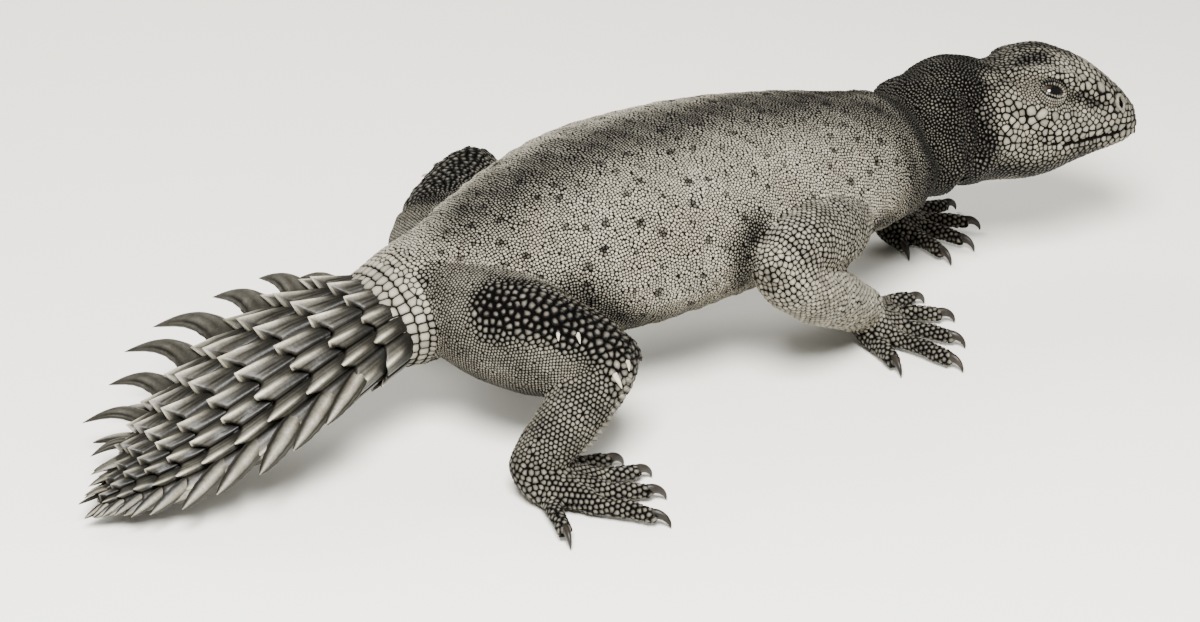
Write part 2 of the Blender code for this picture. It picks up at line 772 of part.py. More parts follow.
def pointed_loft(sections, point, collection):
    """A closed tube through rings of points that ends in a sharp point."""
    bm = bmesh.new()
    rings = [[bm.verts.new(p) for p in points] for points in sections]
    count = len(rings[0])
    for first, second in zip(rings, rings[1:]):
        for k in range(count):
            bm.faces.new((first[k], first[(k + 1) % count], second[(k + 1) % count], second[k]))
    bm.faces.new(rings[0])
    tip = bm.verts.new(point)
    for k in range(count):
        bm.faces.new((rings[-1][k], rings[-1][(k + 1) % count], tip))
    bmesh.ops.triangulate(bm, faces=bm.faces)
    return mesh_object("plate", bm, collection)


def side_spine(x, length, side, drop, tip, collection):
    """A big flattened spine at one side of a whorl, bowed forwards on its way to its sharp tip."""
    angle = drop if side > 0 else math.pi - drop
    root = on_tail(x + 0.6 * length, angle, -SPINE_ROOT)
    tip = Vector(tip)
    ahead = (tip - root).normalized()
    forwards = (Vector((1, 0, 0)) - ahead * ahead.x).normalized()
    reach = (tip - root).length
    sections = []
    for t, width in ((0.0, 1.0), (0.5, 0.52)):
        bow = (forwards * SPINE_BOW + Vector((0, 0, SPINE_ARCH))) * reach * math.sin(math.pi * t)
        centre = root.lerp(tip, t) + bow
        half = length * SPINE_BASE * width
        up = ahead.cross(forwards).normalized()
        sections.append([
            centre + forwards * half,
            centre + up * half * 0.45,
            centre - forwards * half,
            centre - up * half * 0.45,
        ])
    return pointed_loft(sections, tip, collection)


def tail_whorls(tail, collection):
    """Sets the whorls of keeled scutes and side spines round the tail core and joins them to it."""
    pieces = []
    for (x, *tips), (ahead, *_) in zip(WHORLS[1:], WHORLS):
        length = ahead - x
        dorsal, ventral = (6, 4) if x > -30 else (4, 3)
        pieces.append(whorl(x, length * WHORL_LAP, dorsal, ventral, collection))
        for side, tip in zip((1, -1), tips):
            if tip is None:
                continue
            pieces.append(side_spine(x, length, side, 0.22, tip, collection))
            if x > -34:
                root = tail_section(x)[0]
                low = root.lerp(Vector(tip), 0.74) + Vector((-2.0, 0, -0.3 * tail_section(x)[3]))
                pieces.append(side_spine(x, 0.85 * length, side, -0.5, low, collection))
    combine(tail, pieces, "UNION")
    combine(tail, [floor_block(collection)], "DIFFERENCE")
    keep_largest(tail)


def leg_spines(node, spines, collection):
    """Joins short pointed spines to a leg, each rooted well inside it and standing off its skin."""
    tree = surface_of(node)
    pieces = []
    for place, heading, length in spines:
        foot, facing, _, _ = tree.find_nearest(Vector(place))
        ahead = (facing + Vector(heading)).normalized()
        across = ahead.orthogonal().normalized()
        section = ring(foot - ahead * LEG_SPINE_ROOT, across, ahead.cross(across), *[LEG_SPINE_R] * 3, 6)
        pieces.append(pointed_loft([section], foot + ahead * length, collection))
    combine(node, pieces, "UNION")
    keep_largest(node)


def finish(made, colour, roughness):
    """Gives a node its own material and smooth shading."""
    material = bpy.data.materials.new(made.name)
    material.use_nodes = True
    shader = material.node_tree.nodes["Principled BSDF"]
    shader.inputs["Base Color"].default_value = (*colour, 1)
    shader.inputs["Roughness"].default_value = roughness
    shader.inputs["Metallic"].default_value = 0
    made.data.materials.clear()
    made.data.materials.append(material)
    made.data.shade_smooth()
    made.data.set_sharp_from_angle(angle=math.radians(40))


def main():
    for old in list(bpy.data.objects):
        bpy.data.objects.remove(old)
    parts = bpy.data.collections.new("uromastyx")
    cutters = bpy.data.collections.new("cutters")
    for collection in (parts, cutters):
        bpy.context.scene.collection.children.link(collection)

    flesh = fuse("flesh", flesh_lofts(cutters), cutters)
    floor = floor_block(cutters)
    combine(flesh, [floor], "DIFFERENCE")
    combine(flesh, [disc(*cut, cutters) for cut in BODY_CUTS.values()], "DIFFERENCE")
    nodes = split(flesh, BODY_SEEDS, parts)
    for limb, (upper_name, lower_name, foot, upper, lower) in LIMBS.items():
        made = nodes.pop(limb)
        (x, y), toes = FEET[foot]
        palm = (x + toes[2][0], y + toes[2][1], 2)
        elbow = fold_plane(upper[-1][:3], upper[-3][:3], lower[2][:3], -1.0)
        wrist = fold_plane(lower[-1][:3], lower[-2][:3], palm, 1.6)
        cuts = [disc(*elbow, 32, cutters), disc(*wrist, 12.5, cutters)]
        cuts += [toe_trim(foot, index, cutters) for index in range(5)]
        combine(made, cuts, "DIFFERENCE")
        seeds = {upper_name: upper[2][:3], lower_name: lower[2][:3], foot: palm}
        nodes |= split(made, seeds, parts)
        for index in range(5):
            name = f"claw_{foot}_{index + 1}"
            nodes[name] = claw(name, foot, index, parts)
    for eye in head_features(nodes["head"], parts):
        nodes[eye.name] = eye
    tail_whorls(nodes["tail"], parts)
    for part, spines in LEG_SPINES.items():
        leg_spines(nodes[f"{part}_right"], spines, parts)

    corners = np.array([v.co for node in nodes.values() for v in node.data.vertices])
    low, high = corners.min(axis=0), corners.max(axis=0)
    recentre = Matrix.Translation((-(low[0] + high[0]) / 2, -(low[1] + high[1]) / 2, 0))
    root = bpy.data.objects.new("uromastyx_root", None)
    parts.objects.link(root)
    for name, node in nodes.items():
        node.data.transform(recentre)
        node.parent = root
        kind = name.split("_")[0]
        finish(node, *LOOKS.get(kind, LOOKS["skin"]))


main()
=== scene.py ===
"""The looks of a life-size princely spiny-tailed lizard: scaly skin, scutes, spines, eyes, claws.

Lengths are in millimetres, in the frame that the solids were drawn in: the animal faces +X, its
left side is +Y and the floor is z = 0. to_row() moves points of it into the row frame, in metres.
"""

import itertools
import math

import bmesh
import bpy
import numpy as np
from mathutils import Matrix, Vector
from mathutils.bvhtree import BVHTree
from mathutils.kdtree import KDTree


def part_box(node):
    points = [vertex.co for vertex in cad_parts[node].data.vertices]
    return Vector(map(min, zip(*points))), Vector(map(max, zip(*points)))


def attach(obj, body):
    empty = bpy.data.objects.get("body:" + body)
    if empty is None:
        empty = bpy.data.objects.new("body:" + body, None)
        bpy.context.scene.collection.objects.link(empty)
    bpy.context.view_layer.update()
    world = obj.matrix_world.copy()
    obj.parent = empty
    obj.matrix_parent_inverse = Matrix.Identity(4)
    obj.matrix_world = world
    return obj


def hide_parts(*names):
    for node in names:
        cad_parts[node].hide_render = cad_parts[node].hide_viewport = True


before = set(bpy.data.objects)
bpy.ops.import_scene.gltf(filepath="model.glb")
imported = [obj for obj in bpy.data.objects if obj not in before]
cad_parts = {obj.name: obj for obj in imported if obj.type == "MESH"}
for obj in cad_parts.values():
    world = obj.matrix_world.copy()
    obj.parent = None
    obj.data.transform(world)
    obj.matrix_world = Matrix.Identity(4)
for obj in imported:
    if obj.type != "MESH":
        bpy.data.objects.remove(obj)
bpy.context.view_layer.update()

MM = 0.001

# The spine, from the tail root to the nape: x, y, z, half width, height above, depth below.
TRUNK = [
    (10, 0, 22.6, 11.6, 6.8, 8.2),
    (19, 0, 24.6, 12.6, 8.2, 9.6),
    (27, 0, 26.4, 14.2, 10.2, 10.6),
    (38, 0, 28.4, 17.0, 12.8, 11.4),
    (50, 0, 30.0, 21.5, 15.4, 17.0),
    (62, 0, 31.0, 25.4, 16.6, 18.0),
    (76, 0, 31.3, 26.6, 16.8, 16.8),
    (90, 0, 31.4, 24.8, 16.4, 16.2),
    (104, 0, 31.0, 21.4, 15.2, 15.4),
    (116, 0, 30.2, 17.8, 13.8, 13.6),
    (126, 0, 30.0, 15.0, 12.2, 11.8),
    (130.5, 0, 30.4, 13.0, 11.2, 10.6),
    (134, 0, 31.2, 13.6, 12.0, 11.4),
    (138, -0.4, 31.8, 13.2, 13.6, 10.6),
    (143, -1, 32.2, 13.6, 14.8, 11.4),
    (147, -1.6, 32.6, 12.6, 13.8, 10.8),
    (150, -2.2, 32.8, 12.6, 13.0, 11.0),
]

# The tail core, from its root to its tip, as TRUNK.
TAIL = [
    (19, 0, 24.6, 12.2, 7.6, 9.2),
    (11, 0.6, 23.0, 13.8, 6.4, 9.0),
    (1, 1.4, 19.8, 15.6, 5.7, 8.2),
    (-8, 1.6, 16.0, 15.8, 5.2, 6.8),
    (-16, 1.4, 12.2, 14.6, 4.6, 6.0),
    (-23, 1.0, 9.0, 12.0, 4.1, 5.2),
    (-29, 0.4, 6.8, 8.6, 3.4, 4.4),
    (-34, 0, 5.2, 4.8, 2.3, 3.2),
]

# The whorls of the tail, from its root to its tip: x of the hind edge of each dorsal row, then
# the tips of the big spines at its left and right side.
WHORLS = [
    (16.0, None, None),
    (11.0, (10.4, 18.4, 26.0), None),
    (4.8, (5.7, 26.1, 23.8), (-3.8, -18.6, 17.4)),
    (-2.0, (-2.2, 29.1, 20.8), (-10.3, -19.2, 14.8)),
    (-9.0, (-12.8, 32.5, 16.1), (-16.6, -19.0, 12.0)),
    (-15.2, (-19.1, 31.2, 13.4), (-23.4, -16.4, 9.0)),
    (-21.0, (-24.8, 25.5, 10.9), (-29.0, -14.6, 7.0)),
    (-25.6, (-32.3, 20.0, 8.0), (-33.3, -10.8, 5.4)),
    (-29.4, (-35.2, 9.6, 7.2), (-35.9, -8.9, 4.8)),
    (-32.4, (-37.4, 4.4, 6.8), (-37.7, -6.0, 4.2)),
    (-35.0, (-39.1, 1.4, 6.5), (-39.4, -4.4, 3.6)),
    (-37.2, (-40.9, -1.0, 6.0), (-40.6, -3.4, 3.4)),
]

# The head in its own frame, from the nape to the snout: x, mid height, half width, half height.
HEAD_AT = (150.0, -2.0, 33.0)
HEAD_YAW, HEAD_PITCH, HEAD_ROLL = -24.0, 2.5, -8.0
HEAD = [
    (-6, -0.95, 11.4, 10.45),
    (0, -0.95, 12.8, 11.45),
    (5.5, 0.4, 13.2, 12.9),
    (11, 1.05, 12.4, 12.75),
    (15.5, 1.0, 10.9, 11.2),
    (20, 0.45, 9.2, 9.35),
    (24, -0.75, 7.4, 7.25),
    (27.4, -2.05, 5.4, 4.95),
    (29.6, -3.0, 3.0, 2.7),
]

# What the head carries, in its frame and on its left side; the right side mirrors it.
EYE_AT, EYE_R = (10.0, 9.5, 6.2), 2.8
EYE_LOOK = (0.12, 0.88, 0.46)
PUPIL_AHEAD = 0.12
LID_OPENING, LID_SLANT = (2.1, 1.0), 0.4
NOSTRIL_AT, NOSTRIL_R = (24.7, 6.5, 2.4), (0.95, 1.45)
# The slit of the mouth: x and z, from its corner to the snout.
MOUTH = [
    (6.5, -2.1), (7.8, -2.4), (12.8, -3.6), (16.5, -3.6), (20.2, -3.6), (24, -3.5), (28.8, -4.1), (31, -4.1),
]

# The limbs: x, y, z and radius at each joint, from inside the trunk to the wrist or ankle.
LIMBS = {
    "thigh_right": [
        (27, -5, 27, 8.8), (31.5, -14, 25.2, 10.2), (37, -22, 23.4, 9.8), (42.5, -28.5, 22.6, 7.2),
        (45.2, -31.5, 21.8, 5.4),
    ],
    "shin_right": [
        (44.4, -31, 22.8, 4.8), (42.8, -32, 20.2, 5.7), (36.2, -32.6, 14.4, 5.6), (31.2, -32.4, 9.2, 5.2),
        (28.4, -32.3, 6.4, 4.6),
    ],
    "thigh_left": [
        (30, 5, 28, 8.6), (36.5, 14, 28.6, 9.0), (44, 21.5, 30.2, 8.2), (50.5, 27.5, 31.6, 6.6),
        (53.5, 30.5, 31.6, 5.2),
    ],
    "shin_left": [
        (53, 30, 31.8, 4.8), (52, 31.4, 28.8, 5.8), (48, 33, 20, 5.4), (43, 34.4, 11, 4.8),
        (40, 35, 6.6, 4.4),
    ],
    "upper_arm_right": [
        (108, -8, 26, 7.0), (102, -17, 27.6, 7.6), (93, -24, 30, 7.2), (85, -28, 30.8, 6.4),
        (80.5, -29.4, 29.6, 4.8),
    ],
    "forearm_right": [
        (80.8, -29.6, 30.4, 4.6), (83.4, -29, 27.4, 6.2), (92.5, -25.6, 20.2, 6.3), (104, -19.3, 12.0, 5.2),
        (110.6, -15.6, 7.4, 4.7),
    ],
    "upper_arm_left": [
        (106, 8, 26, 7.0), (110, 16, 26.6, 7.4), (114, 22.5, 26.6, 6.8), (118, 27, 25, 5.9),
        (120, 28.4, 23.4, 4.6),
    ],
    "forearm_left": [
        (119.4, 28.2, 24.2, 4.4), (122, 27.4, 20.6, 5.9), (128.5, 23.4, 14.6, 5.8), (135.5, 20.6, 9.4, 5.0),
        (141, 18.6, 7.2, 4.4),
    ],
}

# Each foot: where the wrist or ankle is, then for toes 1 to 5 the place of its root and of the
# tip of its claw, both from there. The left hind foot mirrors the right one.
HIND_TOES = [
    (12, 1.5, 19.5, 1), (12.5, -4, 21.5, -5), (10.5, -8.5, 19.5, -12.7), (7, -11.5, 15, -21),
    (0.5, -5, -3, -18),
]
FEET = {
    "forefoot_right": (
        (111.5, -15.0),
        [
            (11, 6, 19.5, 5.5), (10.5, 1, 19.5, -4), (8, -4.5, 14.5, -13.5), (3.5, -7, 8, -21),
            (-1, -6, -3, -16.5),
        ],
    ),
    "forefoot_left": (
        (142.0, 18.0),
        [
            (-0.5, -4, -2, -11), (3.5, -6, 4, -17), (8, -4.5, 12, -14.4), (10.5, -1, 19.5, -7),
            (11, 3.5, 21.5, 3.5),
        ],
    ),
    "hindfoot_right": ((27.8, -32.5), HIND_TOES),
    "hindfoot_left": ((40.0, 35.0), [(x, -y, tip_x, -tip_y) for x, y, tip_x, tip_y in HIND_TOES]),
}
TOE_R, TOE_TRIM, GAP = 1.65, 0.7, 0.3

# A claw leaves its toe flat and hooks down: how far it reaches ahead and drops, its half
# width at its root, how high that lies over the toe's middle, and how far it turns.
CLAW_REACH, CLAW_DROP, CLAW_R, CLAW_LIFT = 2.4, 2.45, 1.0, 0.35
CLAW_TURN = math.radians(84)
CORE_INSET = 1.9

# The skin under the scales, and how deep it lies inside the solids.
VOXEL = 0.55
SMOOTHINGS = 3
NECK_ROUNDS = 130
COAT_DEPTH = 0.36
FLOOR_GAP = 0.02
# Where the head's forms and shades begin, and how deep or high the skin's other forms are.
HEAD_FROM = 128
SLIT_DEPTH, SHOULDER_DEPTH, WAVE_RISE, WRINKLE_DEPTH = 0.6, 0.7, 0.16, 0.3

# The scales: how much of its cell each fills, how its hind edge rises, how far it reaches at most,
# the size of its patch on the flat map, how many faces one piece of them may have, the size of the
# smallest, how far apart their rows are and how many others bound each.
CELL_FILL, HIND_RISE, MOST_REACH = 0.98, 0.22, 0.85
PATCH, PIECE_FACES = 0.003, 180000
GRANULE = 0.57
ROW_GAP, NEIGHBOURS = 0.86, 14

# The lids: their rings, the points of each, the size of their scales and how far round the ball
# they reach.
LID_RINGS, LID_TURNS, LID_SCALE, LID_REACH = 14, 64, 0.56, math.radians(88)

# The dark spots: how many, how far apart, how wide, how dark and how soft their edges are.
SPOT_COUNT, SPOT_GAP, SPOT_R, SPOT_STRENGTH, SPOT_EDGE = 300, 3.2, (0.3, 0.85), (0.7, 1.0), 0.6

# Where the random draws start.
SEED = 11

# The whorls: the arc of their upper and of their lower scutes, and how fine each piece is.
WHORL_SPAN = math.radians(136)
SCUTE_GRID = (19, 14)
SPINE_SIDES, SPINE_STATIONS = 20, 16

# Colours, as linear red, green and blue.
PALE_SCALE = (0.235, 0.217, 0.172)
# DARK_SCALE is what the animal's dark places and its painted shade both mix towards.
DARK_SCALE = (0.016, 0.014, 0.011)
BROWN_SCALE = (0.115, 0.096, 0.066)
SPOT_COLOUR = (0.006, 0.005, 0.004)
SCUTE_COLOURS = (0.36, 0.335, 0.27), (0.19, 0.17, 0.125)
CLAW_COLOURS = (0.035, 0.029, 0.023), (0.010, 0.008, 0.006)
IRIS = (0.006, 0.004, 0.003), (0.014, 0.009, 0.006)
PUPIL, EYE_EDGE, EYE_CORNER = (0.002, 0.002, 0.002), (0.012, 0.009, 0.007), (0.035, 0.031, 0.026)
FLOOR_COLOUR, FLOOR_HALF = (0.80, 0.78, 0.70), 3.0
WORLD_COLOUR, WORLD_LIGHT = (1.0, 0.99, 0.96), 0.32

# The lamps: name, place, size and watts. All point at one place.
LAMPS = [
    ("key", (-140, -300, 430), 180, 14.0), ("fill", (420, -300, 260), 320, 1.6),
    ("rim", (40, 380, 380), 300, 2.5),
]
LAMP_TARGET = (60, 0, 20)

# The camera and its picture.
CAMERA_TARGET = (54.0, -13.0, 21.0)
CAMERA_AZIMUTH, CAMERA_ELEVATION, CAMERA_DISTANCE, CAMERA_LENS = -32.0, 27.0, 500.0, 84.0


def unit(v):
    """Vectors of length one, in rows."""
    return v / np.maximum(np.linalg.norm(v, axis=-1, keepdims=True), 1e-9)


def circle(count):
    """Angles evenly round a circle."""
    return np.arange(count) * 2 * math.pi / count


def oval(angles, across, up):
    """Points at angles round an oval, which has these two half axes."""
    return np.cos(angles)[:, None] * across + np.sin(angles)[:, None] * up


def tree_of(points):
    """A tree that finds the nearest of these points."""
    tree = KDTree(len(points))
    for k, p in enumerate(points):
        tree.insert(p, k)
    tree.balance()
    return tree


def head_matrix():
    """The matrix from the head's own frame to the animal's."""
    turn = (
        Matrix.Rotation(math.radians(HEAD_YAW), 4, "Z")
        @ Matrix.Rotation(math.radians(-HEAD_PITCH), 4, "Y")
        @ Matrix.Rotation(math.radians(HEAD_ROLL), 4, "X")
    )
    return np.array(Matrix.Translation(HEAD_AT) @ turn)


TO_ANIMAL = head_matrix()
TO_HEAD = np.linalg.inv(TO_ANIMAL)


def from_head(points):
    """Points of the head's frame, in the animal's."""
    return np.asarray(points, float) @ TO_ANIMAL[:3, :3].T + TO_ANIMAL[:3, 3]


def into_head(points):
    """Points of the animal's frame, in the head's."""
    return np.asarray(points, float) @ TO_HEAD[:3, :3].T + TO_HEAD[:3, 3]


def turned(directions):
    """Directions of the head's frame, in the animal's."""
    return np.asarray(directions, float) @ TO_ANIMAL[:3, :3].T


def on_head(place, side):
    """A place of the head's left side in the animal's frame, or its mirror image if side is -1."""
    x, y, z = place
    return from_head((x, side * y, z))


def row_shift():
    """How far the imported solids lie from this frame, read from where the two eyes are."""
    here = np.mean([on_head(EYE_AT, side) for side in (-1, 1)], axis=0)
    corners = [np.array(corner) for word in ("left", "right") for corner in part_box("eye_" + word)]
    return np.mean(corners, axis=0) / MM - here


SHIFT = row_shift()


def to_row(points):
    return (np.asarray(points, float) + SHIFT) * MM


# Meshes


def mesh_from(name, points, faces, material):
    """A smooth object of points in millimetres and of faces, in an array for each number of corners."""
    faces = [np.asarray(f, np.int32) for f in faces if len(f)]
    corners = np.concatenate([f.ravel() for f in faces])
    sizes = np.concatenate([np.full(len(f), f.shape[1]) for f in faces])
    mesh = bpy.data.meshes.new(name)
    mesh.vertices.add(len(points))
    mesh.vertices.foreach_set("co", to_row(points).astype(np.float32).ravel())
    mesh.loops.add(len(corners))
    mesh.loops.foreach_set("vertex_index", corners)
    mesh.polygons.add(len(sizes))
    mesh.polygons.foreach_set("loop_start", np.concatenate([[0], np.cumsum(sizes)[:-1]]).astype(np.int32))
    mesh.update(calc_edges=True)
    mesh.shade_smooth()
    mesh.materials.append(material)
    made = bpy.data.objects.new(name, mesh)
    bpy.context.scene.collection.objects.link(made)
    return made


def set_values(made, name, values):
    """A number for each point of a mesh, which its material reads."""
    made.data.attributes.new(name, "FLOAT", "POINT").data.foreach_set("value", np.asarray(values, np.float32))


def tube_faces(rings, sides):
    """The quads between rings of points."""
    k, j = np.meshgrid(np.arange(rings - 1), np.arange(sides), indexing="ij")
    a = k * sides + j
    b = k * sides + (j + 1) % sides
    return np.stack([a, b, b + sides, a + sides], -1).reshape(-1, 4)


def fan_faces(start, sides, tip):
    """The triangles that close a ring of points with a tip."""
    j = np.arange(sides)
    return np.stack([start + j, start + (j + 1) % sides, np.full(sides, tip)], -1)


def closed_tube(sections, ends=None):
    """Points and faces of a tube through rings, closed at both ends, at their middles if not told."""
    sections = np.asarray(sections, float)
    rings, sides = sections.shape[:2]
    ends = ends or (sections[0].mean(0), sections[-1].mean(0))
    points = np.vstack([sections.reshape(-1, 3), ends])
    last = rings * sides
    fans = np.vstack([fan_faces(0, sides, last)[:, ::-1], fan_faces(last - sides, sides, last + 1)])
    return points, tube_faces(rings, sides), fans


class Pile:
    """Many small closed meshes gathered into one, with a value for each of their points."""

    def __init__(self):
        self.points, self.quads, self.triangles, self.tones, self.count = [], [], [], [], 0

    def add(self, points, quads, triangles, tone_and_painted_light):
        self.points.append(points)
        self.quads.append(quads + self.count)
        self.triangles.append(triangles + self.count)
        self.tones.append(np.broadcast_to(tone_and_painted_light, len(points)).astype(float))
        self.count += len(points)

    def build(self, name, material):
        faces = [np.vstack(self.quads), np.vstack(self.triangles)]
        made = mesh_from(name, np.vstack(self.points), faces, material)
        set_values(made, "tone_and_painted_light", np.concatenate(self.tones))
        return made


# The tubes that the flesh is made of


def smooth_stations(stations, step=1.0):
    """Catmull-Rom points through the stations, about step millimetres apart."""
    p = np.array(stations, float)
    p = np.vstack([2 * p[0] - p[1], p, 2 * p[-1] - p[-2]])
    rows = []
    for a, b, c, d in zip(p, p[1:], p[2:], p[3:]):
        count = max(2, round(np.linalg.norm((c - b)[:3]) / step))
        for t in np.arange(count) / count:
            rows.append(b + 0.5 * t * (c - a + t * (2 * a - 5 * b + 4 * c - d + t * (3 * (b - c) + d - a))))
    return np.array(rows + [p[-2]])


class Tube:
    """A tube of oval sections: for each the middle, two directions across and three half sizes."""

    def __init__(self, rows, side, up, ahead, boxy=2.0):
        self.middle, self.side, self.up, self.ahead = rows[:, :3], side, up, ahead
        self.width, self.above, self.below = rows[:, 3], rows[:, 4], rows[:, 5]
        self.boxy = boxy

    def ring(self, k, angles, grow=0.0):
        c, s = np.cos(angles), np.sin(angles)
        square = (np.abs(c) ** self.boxy + np.abs(s) ** self.boxy) ** (-1 / self.boxy)
        height = np.where(s > 0, self.above[k], self.below[k])
        across = ((self.width[k] + grow) * c * square)[:, None] * self.side[k]
        return self.middle[k] + across + ((height + grow) * s * square)[:, None] * self.up[k]


def spine_tube(stations):
    rows = smooth_stations(stations)
    ahead = unit(np.gradient(rows[:, :3], axis=0))
    side = unit(np.cross([0, 0, 1], ahead))
    return Tube(rows, side, np.cross(ahead, side), ahead)


def limb_tube(stations):
    rows = smooth_stations(stations)
    ahead = unit(np.gradient(rows[:, :3], axis=0))
    side = unit(np.cross(ahead[0], [0.3, 0.2, 1]))
    sides = []
    for direction in ahead:
        side = unit(side - direction * (side @ direction))
        sides.append(side)
    sides = np.array(sides)
    rows = np.column_stack([rows, rows[:, 3], rows[:, 3]])
    return Tube(rows, sides, np.cross(ahead, sides), ahead)


def head_tube():
    rows = smooth_stations([(x, 0, z, w, h, h) for x, z, w, h in HEAD])
    rows[:, :3] = from_head(rows[:, :3])
    axes = [np.tile(turned(axis), (len(rows), 1)) for axis in ((0, 1, 0), (0, 0, 1), (1, 0, 0))]
    return Tube(rows, *axes, boxy=2.5)


def toe_rows(foot, index):
    """The run of a toe, x, y, z and radius from the wrist to its last joint, and its heading."""
    (x, y), toes = FEET[foot]
    root_x, root_y, tip_x, tip_y = toes[index]
    start = np.array([x, y, 0.0])
    root = start + (root_x, root_y, 0)
    tip = start + (tip_x, tip_y, 0)
    ahead = unit(tip - root)
    length = np.linalg.norm(tip - root) - CLAW_REACH - TOE_TRIM - GAP
    rows = [
        (*(start + (0, 0, 5.4)), 3.6),
        (*(start + 0.55 * (root - start) + (0, 0, 3.4)), 2.9),
        (*(root + (0, 0, 2.4)), TOE_R + 0.3),
        (*(root + ahead * 0.5 * length + (0, 0, 2.6)), TOE_R + 0.05),
        (*(root + ahead * length + (0, 0, 2.2)), TOE_R - 0.1),
    ]
    return rows, ahead


# The stations of the pad of a foot: how far each is to the roots of the toes, its half width, the
# share of the spread of those roots that this has besides, its height above, depth below and middle.
PALM = [
    (-0.1, 2.2, 0, 2.0, 1.6, 4.4), (0.0, 3.9, 0, 3.4, 3.6, 4.4), (0.4, 4.2, 0, 2.6, 4.0, 3.4),
    (0.7, 0, 0.85, 2.0, 3.2, 2.6), (0.92, 0, 0.68, 1.3, 2.0, 2.0),
]


def palm_tube(foot):
    """The flat pad of a foot, from the wrist to between the roots of its toes."""
    (x, y), toes = FEET[foot]
    start = np.array([x, y, 0.0])
    roots = np.array([(root_x, root_y, 0) for root_x, root_y, _, _ in toes[:4]], float)
    middle = roots.mean(0)
    spread = np.linalg.norm(roots[0] - roots[3]) / 2
    ahead = unit(middle)
    rows = np.array([
        (*(start + middle * t + (0, 0, height)), width + share * spread, above, below)
        for t, width, share, above, below, height in PALM
    ])
    axes = [np.tile(axis, (len(rows), 1)) for axis in ([-ahead[1], ahead[0], 0], [0.0, 0, 1], ahead)]
    return Tube(rows, *axes)


def tail_core():
    """The stations of the tail's flesh, which lies a little inside the whorls that cover it."""
    bare = [row for row in TAIL if row[0] > WHORLS[0][0]]
    covered = TAIL[len(bare):]
    return bare + [(x, y, z, w - CORE_INSET, a - CORE_INSET, b - CORE_INSET) for x, y, z, w, a, b in covered]


def flesh_tubes():
    """Every tube of the flesh, by name."""
    x, y, z, *reach = TRUNK[0]
    hidden = (x, y, z, *(r - CORE_INSET for r in reach))
    tubes = {"trunk": spine_tube([hidden, *TRUNK[1:]]), "tail": spine_tube(tail_core()), "head": head_tube()}
    for name, stations in LIMBS.items():
        tubes[name] = limb_tube(stations)
    for foot in FEET:
        tubes[foot] = palm_tube(foot)
        for index in range(5):
            tubes[f"{foot}_toe_{index + 1}"] = limb_tube(toe_rows(foot, index)[0])
    return tubes


def tube_mesh(tube, domed, sides):
    """Points and faces of a tube, with domed ends where it is a limb or a toe."""
    sections = [tube.ring(k, circle(sides)) for k in range(len(tube.width))]
    if domed:
        for end, ahead in ((0, -tube.ahead[0]), (-1, tube.ahead[-1])):
            middle = tube.middle[end]
            domes = [
                middle + (sections[end] - middle) * narrow + ahead * tube.width[end] * rise
                for rise, narrow in ((0.45, 0.85), (0.8, 0.5))
            ]
            sections = domes[::-1] + sections if end == 0 else sections + domes
    return closed_tube(sections)


# The skin


def fused_flesh():
    """One closed skin over all the tubes, as the solids have it."""
    points, faces, count = [], [], 0
    for name, tube in flesh_tubes().items():
        domed = name in LIMBS or "toe" in name
        found, quads, fans = tube_mesh(tube, domed, 14 if "toe" in name else 40)
        points.append(found)
        faces += (quads + count).tolist() + (fans + count).tolist()
        count += len(found)
    mesh = bpy.data.meshes.new("flesh")
    mesh.from_pydata(np.vstack(points).tolist(), [], faces)
    made = bpy.data.objects.new("flesh", mesh)
    bpy.context.scene.collection.objects.link(made)
    remesh = made.modifiers.new("remesh", "REMESH")
    remesh.mode = "VOXEL"
    remesh.voxel_size = VOXEL
    smooth = made.modifiers.new("smooth", "SMOOTH")
    smooth.factor = 0.5
    smooth.iterations = SMOOTHINGS
    fused = bpy.data.meshes.new_from_object(made.evaluated_get(bpy.context.evaluated_depsgraph_get()))
    bpy.data.objects.remove(made)
    points = np.empty(len(fused.vertices) * 3, np.float32)
    fused.vertices.foreach_get("co", points)
    corners = np.empty(len(fused.polygons) * 4, np.int32)
    fused.polygons.foreach_get("vertices", corners)
    bpy.data.meshes.remove(fused)
    return points.reshape(-1, 3).astype(float), corners.reshape(-1, 4)


def point_normals(points, quads):
    """The outward direction at each point of a mesh of quads."""
    across = np.cross(points[quads[:, 2]] - points[quads[:, 0]], points[quads[:, 3]] - points[quads[:, 1]])
    normals = np.zeros_like(points)
    for k in range(4):
        np.add.at(normals, quads[:, k], across)
    return unit(normals)


def from_line(points, line):
    """The distance of each point from a run of straight pieces."""
    line = np.asarray(line, float)
    nearest = np.full(len(points), 1e9)
    for a, b in zip(line, line[1:]):
        run = b - a
        t = np.clip((points - a) @ run / (run @ run), 0, 1)
        nearest = np.minimum(nearest, np.linalg.norm(points - a - t[:, None] * run, axis=1))
    return nearest


def bump(distance, radius):
    return np.exp(-((distance / radius) ** 2))


